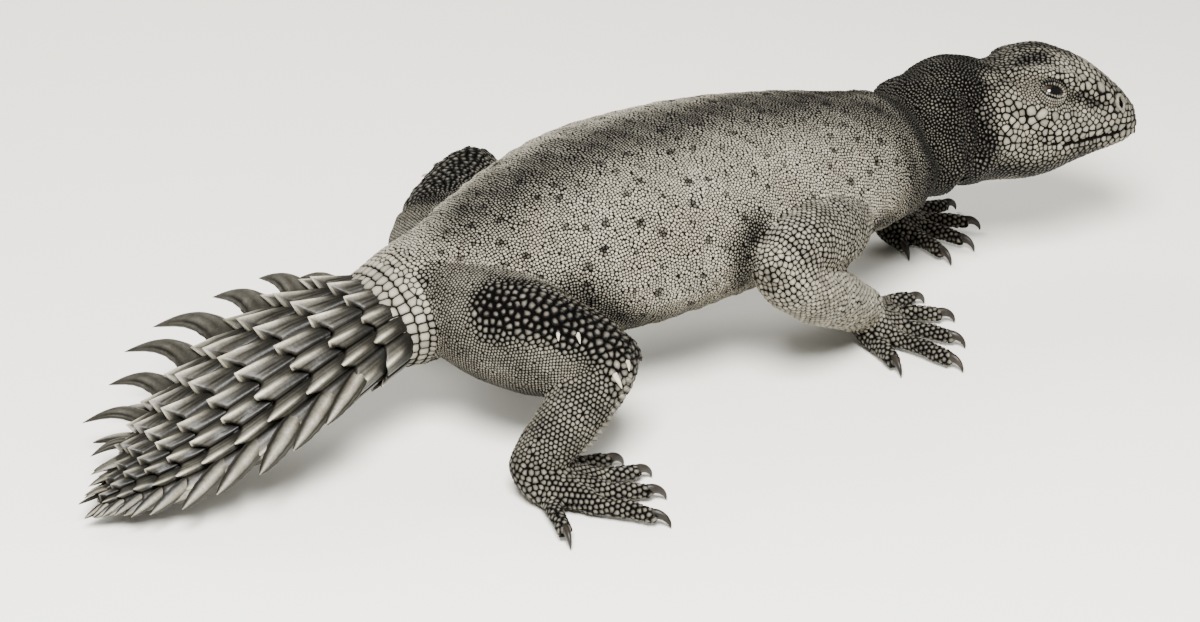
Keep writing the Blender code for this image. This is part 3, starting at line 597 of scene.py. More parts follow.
# What the skin of the head has, on its left side: a line, its radius and how far it rises.
CREASE = [(-6.8, 12.7, 7.4), (-7.5, 15.0, 0.9), (-7.9, 15.3, -5.5), (-7.6, 11.0, -10.0)]
HEAD_FORMS = {
    "brow": (
        [(3.5, 8.2, 11.4), (5.5, 9.4, 11.2), (8.6, 10.0, 10.7), (11.9, 9.9, 9.8), (14.6, 9.7, 8.7)],
        1.3, 1.25,
    ),
    "brow_fold": (
        [(2.2, 8.4, 10.4), (3.6, 9.8, 10.0), (5.4, 10.7, 9.3), (7.6, 11.0, 8.9), (10.0, 11.0, 8.6)],
        0.9, -1.4,
    ),
    "eye_hollow": ([(6.2, 11.2, 7.0), (10.0, 11.2, 5.4), (14.0, 10.2, 5.0)], 2.2, -0.75),
    "canthus": ([(15.3, 9.4, 7.1), (17.5, 8.6, 6.7), (20.0, 7.6, 6.0), (22.0, 7.4, 4.6)], 1.4, 0.55),
    "lore": ([(14.8, 9.8, 4.6), (16.8, 9.3, 4.1), (19.0, 8.6, 2.7), (21.2, 8.0, 1.4)], 1.3, -0.8),
    "subocular": (
        [(3.2, 12.8, 5.5), (5.4, 13.0, 4.2), (7.8, 12.9, 3.4), (10.2, 12.6, 2.6), (13.5, 11.2, 1.9)],
        1.2, 0.55,
    ),
    "jowl": ([(3.6, 13.0, 3.4), (4.2, 13.2, 0.8), (5.6, 13.2, -1.8)], 0.8, -0.4),
    "cheek": ([(0.8, 12.4, 4.4), (1.8, 12.8, 1.6), (0.8, 13.0, -1.6)], 2.4, 0.9),
    "temple": ([(-1.0, 11.6, 8.0), (1.5, 10.8, 8.8)], 2.4, 0.4),
    "nose": ([(24.4, 6.8, 3.4), (24.9, 6.4, 1.6)], 2.0, 0.5),
    "nostril": ([(24.6, 6.6, 1.9), (24.8, 6.4, 3.0)], 0.75, -1.6),
    "ear": ([(-4.7, 13.0, 6.2), (-4.2, 14.0, 1.2), (-4.6, 13.4, -4.2)], 1.9, -3.0),
    "ear_front": ([(-1.9, 13.4, 5.6), (-1.4, 14.4, 0.8), (-2.0, 14.2, -3.8)], 1.2, 0.6),
    "crease": (CREASE, 0.75, -1.3),
    "crease_fold": ([(-9.2, 12.7, 7.4), (-9.8, 15.0, 0.9), (-9.8, 15.3, -5.5)], 1.5, 0.9),
    "jaw": ([(24.0, 6.6, -6.0), (14.0, 10.4, -6.6), (6.0, 12.2, -6.6)], 1.8, 0.3),
}

# Where the head is dark: a line, how far round it and how dark. Its brow fold, orbit, ear, crease, mouth
# corner and slit, nostrils, jaw and throat have painted shade; its crown, lore and snout are darker.
HEAD_DARK_AND_PAINTED_SHADE = {
    "crown": ([(-9, 6, 12.4), (-3, 6, 11.8), (1, 4.5, 11.3), (5, 5.4, 12), (9.5, 5.5, 12.6)], 4.2, 0.98),
    "crown_side": ([(-7, 10.8, 9.4), (-2, 10.2, 8.8), (2, 8.6, 9.4)], 2.6, 0.88),
    "crown_top": ([(-4, 0, 11), (5, 0, 13), (11, 0, 13.6), (16, 0, 11.6)], 5.6, 0.92),
    "brow_fold": (
        [(2.2, 8.6, 10.4), (5.4, 10.8, 9.3), (7.6, 11.0, 9.0), (10.4, 11.0, 9.0), (13.4, 10.4, 7.4)],
        1.0, 1.0,
    ),
    "lore": ([(14.2, 10.2, 5.2), (16.4, 9.6, 5.0), (18.8, 8.8, 3.6), (21.4, 7.8, 2.4)], 1.8, 1.0),
    "snout": ([(21, 3, 6.8), (24, 4.6, 4.6), (27, 2.5, 2.0), (28.5, 1.0, -1.0)], 3.2, 0.7),
    "ear": ([(-5.0, 13.2, 6.0), (-3.6, 14.4, 1.2), (-3.8, 13.6, -5.0), (-3, 12.5, -9)], 4.2, 1.0),
    "crease": (CREASE, 1.6, 1.0),
    "corner": ([(9.0, 12.6, -1.2), (6.8, 13.0, -1.7), (4.6, 13.2, -2.6), (5, 12.6, -5.2)], 2.0, 0.72),
    "slit": ([(7.4, 13.0, -2.3), (12.8, 11.4, -3.6), (20.2, 8.8, -3.6), (24, 7.0, -3.5)], 0.3, 0.9),
    "jaw": ([(-4, 10, -8), (3, 10.5, -8.2), (9, 9, -9.0), (18, 6.5, -7.6)], 5.2, 1.0),
    "orbit": ([(4.8, 11.6, 7.2), (7.4, 11.8, 8.2), (10.5, 11.4, 8.2), (13.4, 10.4, 7.0)], 1.1, 0.86),
    "throat": ([(-4, 0, -11), (10, 0, -10), (20, 0, -7)], 7.0, 0.9),
    "nostril": ([(24.6, 6.6, 1.6), (24.8, 6.4, 3.2)], 1.9, 1.0),
}
FACE_SHADE = 0.4

# How large the scales of the head are, at places of its left side.
HEAD_SIZES = [
    ((4, 3, 13), 0.95), ((12, 2.5, 13), 1.05), ((20, 2, 9), 1.3), ((27, 2, 1), 1.2), ((28, 2, -2), 1.2),
    ((5.5, 9.4, 11.4), 0.7), ((9, 10, 11), 0.7), ((14.6, 9.7, 8.9), 0.95), ((17.5, 8.4, 7.4), 1.5),
    ((21, 7, 6), 1.6), ((5, 10.9, 9.2), 0.5), ((6.4, 11.2, 6.6), 0.5), ((10, 11.6, 4.4), 0.5),
    ((14, 10, 5), 0.55), ((18, 8.8, 3), 0.8), ((0.6, 12.4, 5), 1.45), ((2.2, 12.8, 2), 1.6),
    ((-0.5, 12.6, 2.9), 1.4), ((0.4, 13.1, -0.6), 1.3), ((4, 13.2, -0.5), 1.05), ((6, 13, 2.2), 1.6),
    ((9.5, 12.5, 0.4), 1.2), ((16, 10, -1), 1.35), ((22, 8, 0), 1.2), ((7, 13, -2.5), 0.9),
    ((9, 12, -4.9), 1.0), ((17, 9, -5.4), 0.95), ((3.6, 8.2, -10.4), 0.75), ((12, 3, -10), 0.75),
    ((-2.6, 13.6, 4.4), 0.8), ((-2.6, 13.8, 0), 0.8), ((-2.6, 13.6, -4), 0.75), ((-4.8, 13.4, 1), 0.6),
    ((-5, 12, 8), 0.64), ((-6, 4, 12), 0.66), ((-4, 10, -9), 0.64), ((1.5, 9.5, 9.6), 0.95),
]

# The plates of the head that stand out, on its left side, and their sizes.
HEAD_PLATES = [
    ((3.2, 12.8, 5.5), 1.9), ((5.4, 13.0, 4.2), 2.2), ((7.8, 12.9, 3.4), 2.4), ((10.2, 12.6, 2.6), 2.0),
    ((12.6, 11.6, 2.1), 1.5), ((14.6, 10.6, 1.9), 1.3), ((5.7, 13.0, 2.1), 1.7), ((8.2, 12.9, 1.4), 1.9),
    ((20.4, 7.6, 5.8), 2.4), ((17.7, 8.6, 6.6), 1.8), ((22.2, 7.5, 3.9), 1.7), ((17.2, 8.0, 8.4), 1.6),
    ((19.4, 6.6, 8.0), 1.7), ((21.8, 6.0, 6.6), 1.5), ((1.2, 12.4, 6.0), 1.6), ((2.4, 12.8, 3.6), 1.7),
    ((0.4, 12.6, 3.4), 1.7), ((2.2, 12.9, 1.6), 1.7), ((0.2, 12.9, 1.2), 1.6), ((1.6, 13.0, -0.6), 1.5),
]

# The folds that cross the neck: x at the back and how far each rises.
NECK_FOLDS = [(126.5, 0.25), (130.5, -0.5), (134.5, 0.4), (138.4, -0.35), (141.5, 0.3)]
SHOULDER_FOLD = [(116, -17, 20), (120, -15.6, 27), (121, -11, 36)]


def left_side(points):
    """Points of the animal's frame in the head's, all on its left side."""
    here = into_head(points)
    here[:, 1] = np.abs(here[:, 1])
    return here


def ramp(value, low, high):
    """0 below low, 1 above high and smooth between."""
    t = np.clip((value - low) / (high - low), 0, 1)
    return t * t * (3 - 2 * t)


def mouth_height(x):
    return np.interp(x, *zip(*MOUTH))


def sculpted(points):
    """How far each point of the skin moves out, for the forms of the head and the folds."""
    here = left_side(points)
    near = points[:, 0] > HEAD_FROM
    move = np.zeros(len(points))
    for line, radius, rise in HEAD_FORMS.values():
        move[near] += rise * bump(from_line(here[near], line), radius)
    slit = bump(here[:, 2] - mouth_height(here[:, 0]), 0.34) * ramp(here[:, 0], 6.8, 8.6)
    move -= SLIT_DEPTH * slit * near
    x, y, z = points.T
    slant = x + 0.12 * (z - 31) + 0.9 * np.sin(0.45 * z + 0.2 * y) + 0.5 * np.sin(0.9 * y)
    upright = ramp(z, 15, 24)
    for place, rise in NECK_FOLDS:
        move += rise * bump(slant - place, 1.5) * upright
    move -= SHOULDER_DEPTH * bump(from_line(points, SHOULDER_FOLD), 2.2)
    wave = np.sin(x * 1.1 + 3 * np.sin(z * 0.35)) * np.sin(z * 0.8 + x * 0.3)
    wrinkle = bump(np.sin(0.17 * x + 0.9 * np.sin(0.19 * z + 1.3)), 0.12) * ramp(np.abs(y), 12, 18)
    return move + (WAVE_RISE * wave - WRINKLE_DEPTH * wrinkle) * (x > 26) * (x < 124)


def eased_neck(points, quads):
    """Evens out the step where the head sits on the neck."""
    here = into_head(points)
    weight = bump(here[:, 0] - 0.3, 5.0) * (here[:, 2] > -15) * (points[:, 0] > 130)
    edges = np.vstack([quads[:, [k, (k + 1) % 4]] for k in range(4)])
    first, second = edges[weight[edges[:, 0]] > 0.01].T
    count = np.maximum(np.bincount(first, minlength=len(points)), 1)[:, None]
    step = (0.55 * weight * (weight > 0.01))[:, None]
    for _ in range(NECK_ROUNDS):
        total = np.column_stack([np.bincount(first, points[second, i], len(points)) for i in range(3)])
        points = points + step * (total / count - points)
    return points


def skin_mesh():
    points, quads = fused_flesh()
    points = eased_neck(points, quads)
    normals = point_normals(points, quads)
    points = points + normals * (sculpted(points) - COAT_DEPTH)[:, None]
    points[:, 2] = np.maximum(points[:, 2], 0.12)
    return points, quads


# The lids


def eye_axes(side):
    """Forwards along the slit, upwards and outwards at an eye, in the animal's frame."""
    look = unit(turned((EYE_LOOK[0], side * EYE_LOOK[1], EYE_LOOK[2])))
    along = turned((1, 0, -LID_SLANT))
    along = unit(along - look * (along @ look))
    across = np.cross(look, along)
    return along, across if across[2] > 0 else -across, look


def lid_mesh(side):
    """The skin of both lids: a cap round the ball with a slit, thick at its edge."""
    along, across, look = eye_axes(side)
    centre = on_head(EYE_AT, side)
    phi = circle(LID_TURNS)
    half_x, half_y = LID_OPENING
    pointed = 1 / np.sqrt((np.cos(phi) / half_x) ** 2 + (np.sin(phi) / half_y) ** 2)
    opening = np.arcsin(np.minimum(pointed / EYE_R, 0.98))
    spread = oval(phi, along, across)
    sections = []
    for k in range(LID_RINGS):
        t = k / (LID_RINGS - 1)
        rho = opening + (LID_REACH - opening) * t ** 1.2
        radius = EYE_R + 0.44 - max(0.0, t - 0.55) ** 1.5
        if k == 0:
            radius = EYE_R + 0.03
        elif k == 1:
            rho, radius = opening + 0.02, EYE_R + 0.34
        sections.append(centre + radius * (np.cos(rho)[:, None] * look + np.sin(rho)[:, None] * spread))
    points = np.array(sections).reshape(-1, 3)
    quads = tube_faces(LID_RINGS, LID_TURNS)
    corner = points[quads[LID_TURNS * (LID_RINGS // 2)]]
    outwards = np.cross(corner[1] - corner[0], corner[2] - corner[1]) @ (corner[0] - centre) > 0
    return points, quads if outwards else quads[:, ::-1]


# Where the scales grow

# Each sort of scale: sides, rings as (reach, height, painted shade and highlight: dark at the rim, pale
# at the top), how convex it is, and how far it leans back.
SCALE_SORTS = {
    "granule": (6, [(1.0, -0.3, 0.0), (0.72, 0.74, 0.75)], 0.38, 0.10),
    "plate": (8, [(1.0, -0.3, 0.0), (0.86, 0.62, 0.6)], 0.29, 0.08),
    "shield": (12, [(1.0, -0.3, 0.0), (0.91, 0.5, 0.42), (0.68, 0.9, 0.8)], 0.22, 0.05),
}


# The cells of one millimetre that lie within so many cells of another.
NEAR_CELLS = {reach: list(itertools.product(range(-reach, reach + 1), repeat=3)) for reach in (1, 2)}


class Seeds:
    """The roots of the scales: accepted where no earlier one stands too near."""

    def __init__(self, tree, normals):
        self.tree, self.normals = tree, normals
        self.points, self.ups, self.lies, self.sizes, self.sorts, self.homes = [], [], [], [], [], []
        self.cells = {}

    def free(self, point, size, closeness):
        x, y, z = (int(math.floor(c)) for c in point)
        for i, j, k in NEAR_CELLS[1 if size < 1.25 else 2]:
            for n in self.cells.get((x + i, y + j, z + k), ()):
                q = self.points[n]
                limit = closeness * 0.5 * (size + self.sizes[n])
                if (point[0] - q[0]) ** 2 + (point[1] - q[1]) ** 2 + (point[2] - q[2]) ** 2 < limit * limit:
                    return False
        return True

    def keep_bare(self, points, size):
        """Takes up room at these points, so that no scale grows there."""
        upright = np.tile([0.0, 0, 1], (len(points), 1))
        self.plant(points, upright, np.full(len(points), size), "bare", "none", 0, 3)

    def plant(self, points, lies, sizes, sort, home, closeness=0.8, reach=1.0):
        """Sets roots on the skin nearest these points, in their order."""
        for point, lie, size in zip(points, lies, sizes):
            hit, _, face, away = self.tree.find_nearest(Vector(point))
            spot = (hit.x, hit.y, hit.z)
            if away > reach or not self.free(spot, size, closeness):
                continue
            self.cells.setdefault(tuple(int(math.floor(c)) for c in spot), []).append(len(self.points))
            self.points.append(spot)
            self.ups.append(self.normals[face])
            self.lies.append(lie)
            self.sizes.append(size)
            self.sorts.append(sort)
            self.homes.append(home)


def tube_grid(tube, size_of, rng, jitter=0.08):
    """Points in staggered rows round a tube, with the way each one lies and its size."""
    fine = np.linspace(0, 2 * math.pi, 181)[:-1] - math.pi / 2
    points, lies, sizes = [], [], []
    run = np.concatenate([[0], np.cumsum(np.linalg.norm(np.diff(tube.middle, axis=0), axis=1))])
    place, row = 0.0, 0
    while place < run[-1]:
        k = int(np.searchsorted(run, place, side="right") - 1)
        t = (place - run[k]) / max(run[k + 1] - run[k], 1e-9)
        ring = tube.ring(k, fine, -COAT_DEPTH) * (1 - t) + tube.ring(k + 1, fine, -COAT_DEPTH) * t
        size = size_of(ring)
        steps = np.linalg.norm(np.roll(ring, -1, axis=0) - ring, axis=1) / (0.5 * (size + np.roll(size, -1)))
        length = np.concatenate([[0], np.cumsum(steps)])
        count = max(4, round(length[-1]))
        at = (np.arange(count) + 0.5 * (row % 2)) * length[-1] / count
        closed = np.vstack([ring, ring[:1]])
        found = np.column_stack([np.interp(at, length, closed[:, i]) for i in range(3)])
        size = np.interp(at, length, np.append(size, size[0]))
        points.append(found + rng.normal(0, 1, found.shape) * (jitter * size)[:, None])
        lies.append(np.tile(tube.ahead[k], (count, 1)))
        sizes.append(size)
        place += ROW_GAP * np.median(size)
        row += 1
    return np.vstack(points), np.vstack(lies), np.concatenate(sizes)


def near_line(points, line, low, high):
    """1 on a line, and 0 from some way off it."""
    return 1 - ramp(from_line(points, line), low, high)


# The pale front of the shins, of both legs in the right one's place.
SHIN_PALE = [(36, -30, 18), (32, -30, 12)]

# Where the legs have their large plates: over the thighs and the knees.
THIGH_PLATES = {
    "thigh_right": [(29, -21, 32), (36, -26, 31), (42, -30, 29), (46, -33.5, 26)],
    "thigh_left": [(36, 17, 37), (44, 24, 38), (50, 29, 37), (55, 32, 34)],
}
KNEES = {"shin_right": [(46, -34, 25), (44.5, -37, 21)], "shin_left": [(55, 32, 33), (54, 35, 28)]}


def trunk_size(p):
    belly = 0.22 * ramp(p[:, 2], 20, 15) * ramp(p[:, 0], 124, 112)
    rump = 0.7 * ramp(p[:, 0], 25, 18.5)
    neck = 0.1 * ramp(p[:, 0], 114, 126) - 0.17 * ramp(p[:, 0], 127, 134)
    return GRANULE + belly + rump - neck


def limb_size(name):
    """How large the scales of a limb are, growing from the trunk outwards."""
    kind = name.split("_")[0]

    def size(p):
        out = np.abs(p[:, 1])
        if kind == "thigh":
            return GRANULE + 0.95 * near_line(p, THIGH_PLATES[name], 3.0, 7.5) * ramp(out, 14, 20)
        if kind == "shin":
            return 0.86 + 0.5 * near_line(p, KNEES[name], 2.0, 6.0)
        if kind == "upper":
            return GRANULE + 0.4 * ramp(out, 18, 25)
        return np.full(len(p), 1.08)

    return size


def plain_size(value):
    return lambda p: np.full(len(p), float(value))


def head_size(points):
    """The sizes of HEAD_SIZES, weighed by how near each of its places is."""
    places = np.array([place for place, _ in HEAD_SIZES], float)
    sizes = np.array([size for _, size in HEAD_SIZES])
    away = np.linalg.norm(left_side(points)[:, None] - places, axis=2)
    weight = 1 / np.maximum(away, 0.3) ** 3.5
    return (weight * sizes).sum(1) / weight.sum(1)


def along_mouth(start, gap, rise):
    """Points along a lip, gap apart and some way over the slit of the mouth, on the left side."""
    rows = smooth_stations([(x, z, w, h) for x, z, w, h in HEAD], 0.4)
    x = np.arange(start, HEAD[-1][0] + 0.6, 0.05)
    z = mouth_height(x) + rise
    middle, width, height = (np.interp(x, rows[:, 0], rows[:, k]) for k in (1, 2, 3))
    y = width * (1 - np.clip(np.abs(z - middle) / height, 0, 0.999) ** 2.5) ** 0.4
    line = np.column_stack([x, y, z])
    run = np.concatenate([[0], np.cumsum(np.linalg.norm(np.diff(line, axis=0), axis=1))])
    at = np.arange(gap / 2, run[-1], gap)
    return np.column_stack([np.interp(at, run, line[:, i]) for i in range(3)])


# The rows of shields along the lips: where each starts, their gap, their rise and their size.
LIP_ROWS = [
    (8.4, 1.95, 0.86, 1.5), (9.0, 1.75, -0.80, 1.4), (10.4, 1.6, 2.1, 1.3), (11.5, 1.5, -2.0, 1.15),
    (13.2, 1.5, 3.2, 1.15),
]
SHIELD_FROM = 0.93


def plant_head(seeds, skin, rng):
    """The named plates and the lips first, then uneven scales over the rest of the head."""

    def plant(places, sizes, sort, closeness, reach):
        backwards = np.tile(turned((-1, 0, 0)), (len(places), 1))
        seeds.plant(places, backwards, sizes, sort, "head", closeness, reach)

    for side in (-1, 1):
        mirror = np.array([1, side, 1])
        slit = along_mouth(7.4, 0.5, 0.0)
        seeds.keep_bare(from_head(slit[slit[:, 0] < 27] * mirror), 0.18)
        seeds.keep_bare([on_head(NOSTRIL_AT, side)], 2.9)
        plates = [on_head(place, side) for place, _ in HEAD_PLATES]
        plant(plates, [size for _, size in HEAD_PLATES], "shield", 0.6, 3)
        for start, gap, rise, size in LIP_ROWS:
            places = from_head(along_mouth(start, gap, rise) * mirror)
            plant(places, np.full(len(places), size), "shield", 0.72, 3)
    places = np.repeat(skin, 3, axis=0)[rng.permutation(3 * len(skin))]
    places = places + rng.normal(0, 0.25, places.shape)
    sizes = head_size(places) * rng.uniform(0.88, 1.12, len(places))
    for sort, chosen in (("shield", sizes > SHIELD_FROM), ("plate", sizes <= SHIELD_FROM)):
        plant(places[chosen], sizes[chosen], sort, 0.86, 0.8)


def plant_lids(seeds):
    """Narrow scales in rings round the slit of each eye, lying away from it."""
    for side in (-1, 1):
        rings = lid_mesh(side)[0].reshape(LID_RINGS, LID_TURNS, 3)
        slit = on_head(EYE_AT, side) + eye_axes(side)[2] * EYE_R
        for number, k in enumerate((1, 4, 6, 8, 10, 12)):
            ring = rings[k]
            length = np.linalg.norm(np.roll(ring, -1, axis=0) - ring, axis=1).sum()
            count = round(length / (LID_SCALE * (0.74 + 0.03 * k)))
            at = (np.arange(count) + 0.5 * (number % 2)) * LID_TURNS / count
            low = at.astype(int) % LID_TURNS
            t = (at - at.astype(int))[:, None]
            places = ring[low] * (1 - t) + ring[(low + 1) % LID_TURNS] * t
            seeds.plant(places, places - slit, np.full(count, LID_SCALE), "plate", "head", 0.6, 0.6)


# The rows of square plates in front of the first whorl of the tail: their x and size.
TAIL_ROOT_ROWS = [(17.0, 1.85), (18.9, 1.6), (20.6, 1.25)]


def plant_tail_root(seeds, tube):
    """The rows of square plates round the root of the tail."""
    around = np.linspace(0, 2 * math.pi, 241)[:-1]
    for number, (x, size) in enumerate(TAIL_ROOT_ROWS):
        k = int(np.argmin(np.abs(tube.middle[:, 0] - x)))
        ring = tube.ring(k, around, -COAT_DEPTH)
        run = np.concatenate([[0], np.cumsum(np.linalg.norm(np.roll(ring, -1, axis=0) - ring, axis=1))])
        count = round(run[-1] / size)
        at = (np.arange(count) + 0.5 * (number % 2)) * run[-1] / count
        places = np.column_stack([np.interp(at, run[:-1], ring[:, i]) for i in range(3)])
        places[:, 0] = x
        back = np.tile([-1.0, 0, 0], (count, 1))
        seeds.plant(places, back, np.full(count, size), "shield", "trunk", 0.7, 1.5)


def plant_all(seeds, tubes, skin, kinds, rng):
    """Every root, the largest scales first, then small ones wherever the skin is still bare."""
    plant_lids(seeds)
    head = np.isin(kinds, ["head", "trunk"]) & (into_head(skin)[:, 0] > -7.2)
    plant_head(seeds, skin[head], rng)
    plant_tail_root(seeds, tubes["trunk"])
    for name, tube in tubes.items():
        if "toe" in name:
            seeds.plant(*tube_grid(tube, plain_size(1.05), rng, 0.05), "plate", "foot", 0.78, 0.7)
    for foot in FEET:
        seeds.plant(*tube_grid(tubes[foot], plain_size(1.02), rng), "plate", "foot", 0.8, 0.8)
    for name in LIMBS:
        seeds.plant(*tube_grid(tubes[name], limb_size(name), rng), "plate", "limb", 0.8, 0.8)
    points, lies, sizes = tube_grid(tubes["trunk"], trunk_size, rng, 0.13)
    points += rng.normal(0, 0.1, points.shape) * ramp(points[:, :1], 112, 122)
    keep = points[:, 0] > WHORLS[0][0] + 4.5
    seeds.plant(points[keep], -lies[keep], sizes[keep], "granule", "trunk", 0.8, 0.9)


def fill_bare(seeds, points, rng):
    """Roots at the skin's own points where none is near, with the lie and size of those nearby."""
    tree = tree_of(seeds.points)
    for n in rng.permutation(len(points)):
        p = points[n]
        if p[0] < WHORLS[0][0] - 1:
            continue
        _, k, away = tree.find(Vector(p))
        if seeds.sorts[k] != "bare" and away >= 0.72 * seeds.sizes[k]:
            seeds.plant([p], [seeds.lies[k]], [seeds.sizes[k]], seeds.sorts[k], seeds.homes[k], 0.76)


def neighbours_of(points):
    """For each point, the numbers of its nearest others."""
    tree = tree_of(points)
    return np.array([[n for _, n, _ in tree.find_n(p, NEIGHBOURS + 1)][1:] for p in points])


def reaches(near, points, ups, along, across, sizes, angles):
    """How far each root's own cell, in the Voronoi sense, reaches at each angle round it."""
    offset = points[near] - points[:, None]
    flat = np.stack([(offset * along[:, None]).sum(2), (offset * across[:, None]).sum(2)], -1)
    distance = np.linalg.norm(offset, axis=2)
    flat = flat * (distance / np.maximum(np.linalg.norm(flat, axis=2), 1e-6))[..., None]
    facing = (ups[near] * ups[:, None]).sum(2) > 0.1
    share = sizes[:, None] / (sizes[:, None] + sizes[near])
    reach = np.empty((len(points), len(angles)))
    for j, angle in enumerate(angles):
        towards = flat[..., 0] * math.cos(angle) + flat[..., 1] * math.sin(angle)
        bound = np.where((towards > 1e-3) & facing, share * distance ** 2 / np.maximum(towards, 1e-3), 9.0)
        reach[:, j] = bound.min(1)
    return np.minimum(reach, MOST_REACH * sizes[:, None])


# What the shape of a scale needs: its root, three directions and its size.
SHAPE = ("points", "ups", "along", "across", "sizes")


def scale_mesh(name, scales, angles, rings, convex, lean, material):
    """One mesh of many scales: for each, rings that follow its cell and a point that leans back."""
    points, ups, along, across, sizes, reach = (scales[key] for key in (*SHAPE, "reach"))
    count, sides = reach.shape
    height = convex * sizes * (0.85 + 0.3 * scales["tone_and_painted_light"])
    layers = []
    for out, rise, _ in rings:
        radius = reach * out * CELL_FILL
        x = radius * np.cos(angles) + (lean * (1 - out) * sizes)[:, None]
        y = radius * np.sin(angles)
        z = height[:, None] * rise * (1 + (HIND_RISE * np.cos(angles) if rise > 0 else 0))
        level = x[..., None] * along[:, None] + y[..., None] * across[:, None]
        layers.append(points[:, None] + level + z[..., None] * ups[:, None])
    apex = points + (lean * sizes)[:, None] * along + height[:, None] * ups
    stride = sides * len(rings) + 1
    corners = np.concatenate([*layers, apex[:, None]], axis=1)
    corners[..., 2] = np.maximum(corners[..., 2], FLOOR_GAP)
    first = (np.arange(count) * stride)[:, None, None]
    quads = tube_faces(len(rings), sides)[None] + first
    tips = fan_faces(sides * (len(rings) - 1), sides, stride - 1)[None] + first
    made = mesh_from(name, corners.reshape(-1, 3), [quads.reshape(-1, 4), tips.reshape(-1, 3)], material)
    # Each ring's painted shade and highlight: dark at a scale's rim, pale at its top.
    pale = np.concatenate([np.full(sides, painted_shade_and_highlight) for *_, painted_shade_and_highlight in rings] + [[1.0]])
    set_values(made, "rise", np.tile(pale, count))
    for key in ("tone_and_painted_light", "spot", "dark"):
        set_values(made, key, np.repeat(scales[key], stride))
    offsets = corners - points[:, None]
    patch = np.stack([(offsets * across[:, None]).sum(2), (offsets * along[:, None]).sum(2)], -1)
    patch *= PATCH / 2 / np.abs(patch).max(axis=(1, 2), keepdims=True)
    flat = (scales["flat"][:, None] + patch).reshape(-1, 2)
    corner_points = np.empty(len(made.data.loops), np.int32)
    made.data.loops.foreach_get("vertex_index", corner_points)
    layer = made.data.uv_layers.new(name="OFBake")
    layer.data.foreach_set("uv", flat[corner_points].astype(np.float32).ravel())
    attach(made, "root")


def build_scales(seeds, tubes, spots, rng, material):
    """All the scales, in pieces that stay small enough."""
    keys = "points", "ups", "lies", "sizes", "sorts", "homes"
    scales = {key: np.array(getattr(seeds, key)) for key in keys}
    points, ups, lies = scales["points"], unit(scales["ups"]), scales["lies"]
    found = nearest_tubes(points, tubes)
    scales["ups"] = ups
    scales["along"] = unit(lies - ups * (lies * ups).sum(1, keepdims=True))
    scales["across"] = np.cross(ups, scales["along"])
    scales["tone_and_painted_light"] = rng.uniform(0, 1, len(ups))
    scales["spot"] = spots(points, found[0])
    scales["dark"] = dark_and_painted_shade(points, found[0])
    scales["flat"] = unwrap(found, tubes)
    near = neighbours_of(points)
    for sort, (sides, rings, convex, lean) in SCALE_SORTS.items():
        angles = (np.arange(sides) + 0.5) * 2 * math.pi / sides
        scales["reach"] = reaches(near, *(scales[key] for key in SHAPE), angles)
        for home in sorted(set(scales["homes"])):
            chosen = np.nonzero((scales["sorts"] == sort) & (scales["homes"] == home))[0]
            if not len(chosen):
                continue
            chosen = chosen[np.argsort(points[chosen, 0])]
            faces = sides * (2 * len(rings) - 1) * len(chosen)
            for number, group in enumerate(np.array_split(chosen, math.ceil(faces / PIECE_FACES))):
                name = f"scales_{home}_{sort}_{number + 1}"
                part = {key: values[group] for key, values in scales.items()}
                scale_mesh(name, part, angles, rings, convex, lean, material)


# Markings and painted shade


def nearest_tubes(points, tubes):
    """For each point, which tube of the flesh it lies on: its kind, number, station and angle."""
    best = np.full(len(points), 1e9)
    number, station, angle = (np.zeros(len(points), kind) for kind in (int, int, float))
    for index, tube in enumerate(tubes.values()):
        reach = max(tube.width.max(), tube.above.max()) + 5
        low, high = tube.middle.min(0) - reach, tube.middle.max(0) + reach
        inside = np.nonzero(((points > low) & (points < high)).all(1))[0]
        if not len(inside):
            continue
        tree = tree_of(tube.middle)
        k = np.array([tree.find(Vector(p))[1] for p in points[inside]], int)
        offset = points[inside] - tube.middle[k]
        side, up, ahead = ((offset * axis[k]).sum(1) for axis in (tube.side, tube.up, tube.ahead))
        height = np.where(up > 0, tube.above[k], tube.below[k])
        least = np.minimum(tube.width[k], height)
        away = (np.sqrt((side / tube.width[k]) ** 2 + (up / height) ** 2 + (ahead / least) ** 2) - 1) * least
        better = away < best[inside]
        chosen = inside[better]
        best[chosen] = away[better]
        number[chosen], station[chosen] = index, k[better]
        angle[chosen] = np.arctan2(up, side)[better]
    kinds = np.array(["toe" if "toe" in name else name.split("_")[0] for name in tubes])
    return kinds[number], number, station, angle


def spot_finder(points, kinds, rng):
    """Scatters the small dark spots of the back and flanks, and returns how dark they make a point."""
    able = points[(kinds == "trunk") & (points[:, 0] > 26) & (points[:, 0] < 128) & (points[:, 2] > 18)]
    chosen = []
    for p in able[rng.permutation(len(able))[:20 * SPOT_COUNT]]:
        if all(np.linalg.norm(p - q) > SPOT_GAP for q in chosen):
            chosen.append(p)
        if len(chosen) == SPOT_COUNT:
            break
    tree = tree_of(chosen)
    radius = rng.uniform(*SPOT_R, len(chosen))
    strength = rng.uniform(*SPOT_STRENGTH, len(chosen))

    def spots(places, place_kinds):
        number, away = np.array([tree.find(Vector(p))[1:] for p in places]).T
        number = number.astype(int)
        ragged = 0.4 * np.sin(places @ (5.1, 3.3, 4.2)) * np.sin(places @ (2.3, -4.7, 3.9))
        depth = (radius[number] - away) / SPOT_EDGE + 0.5
        return np.clip(depth + ragged, 0, 1) * strength[number] * (place_kinds == "trunk")

    return spots
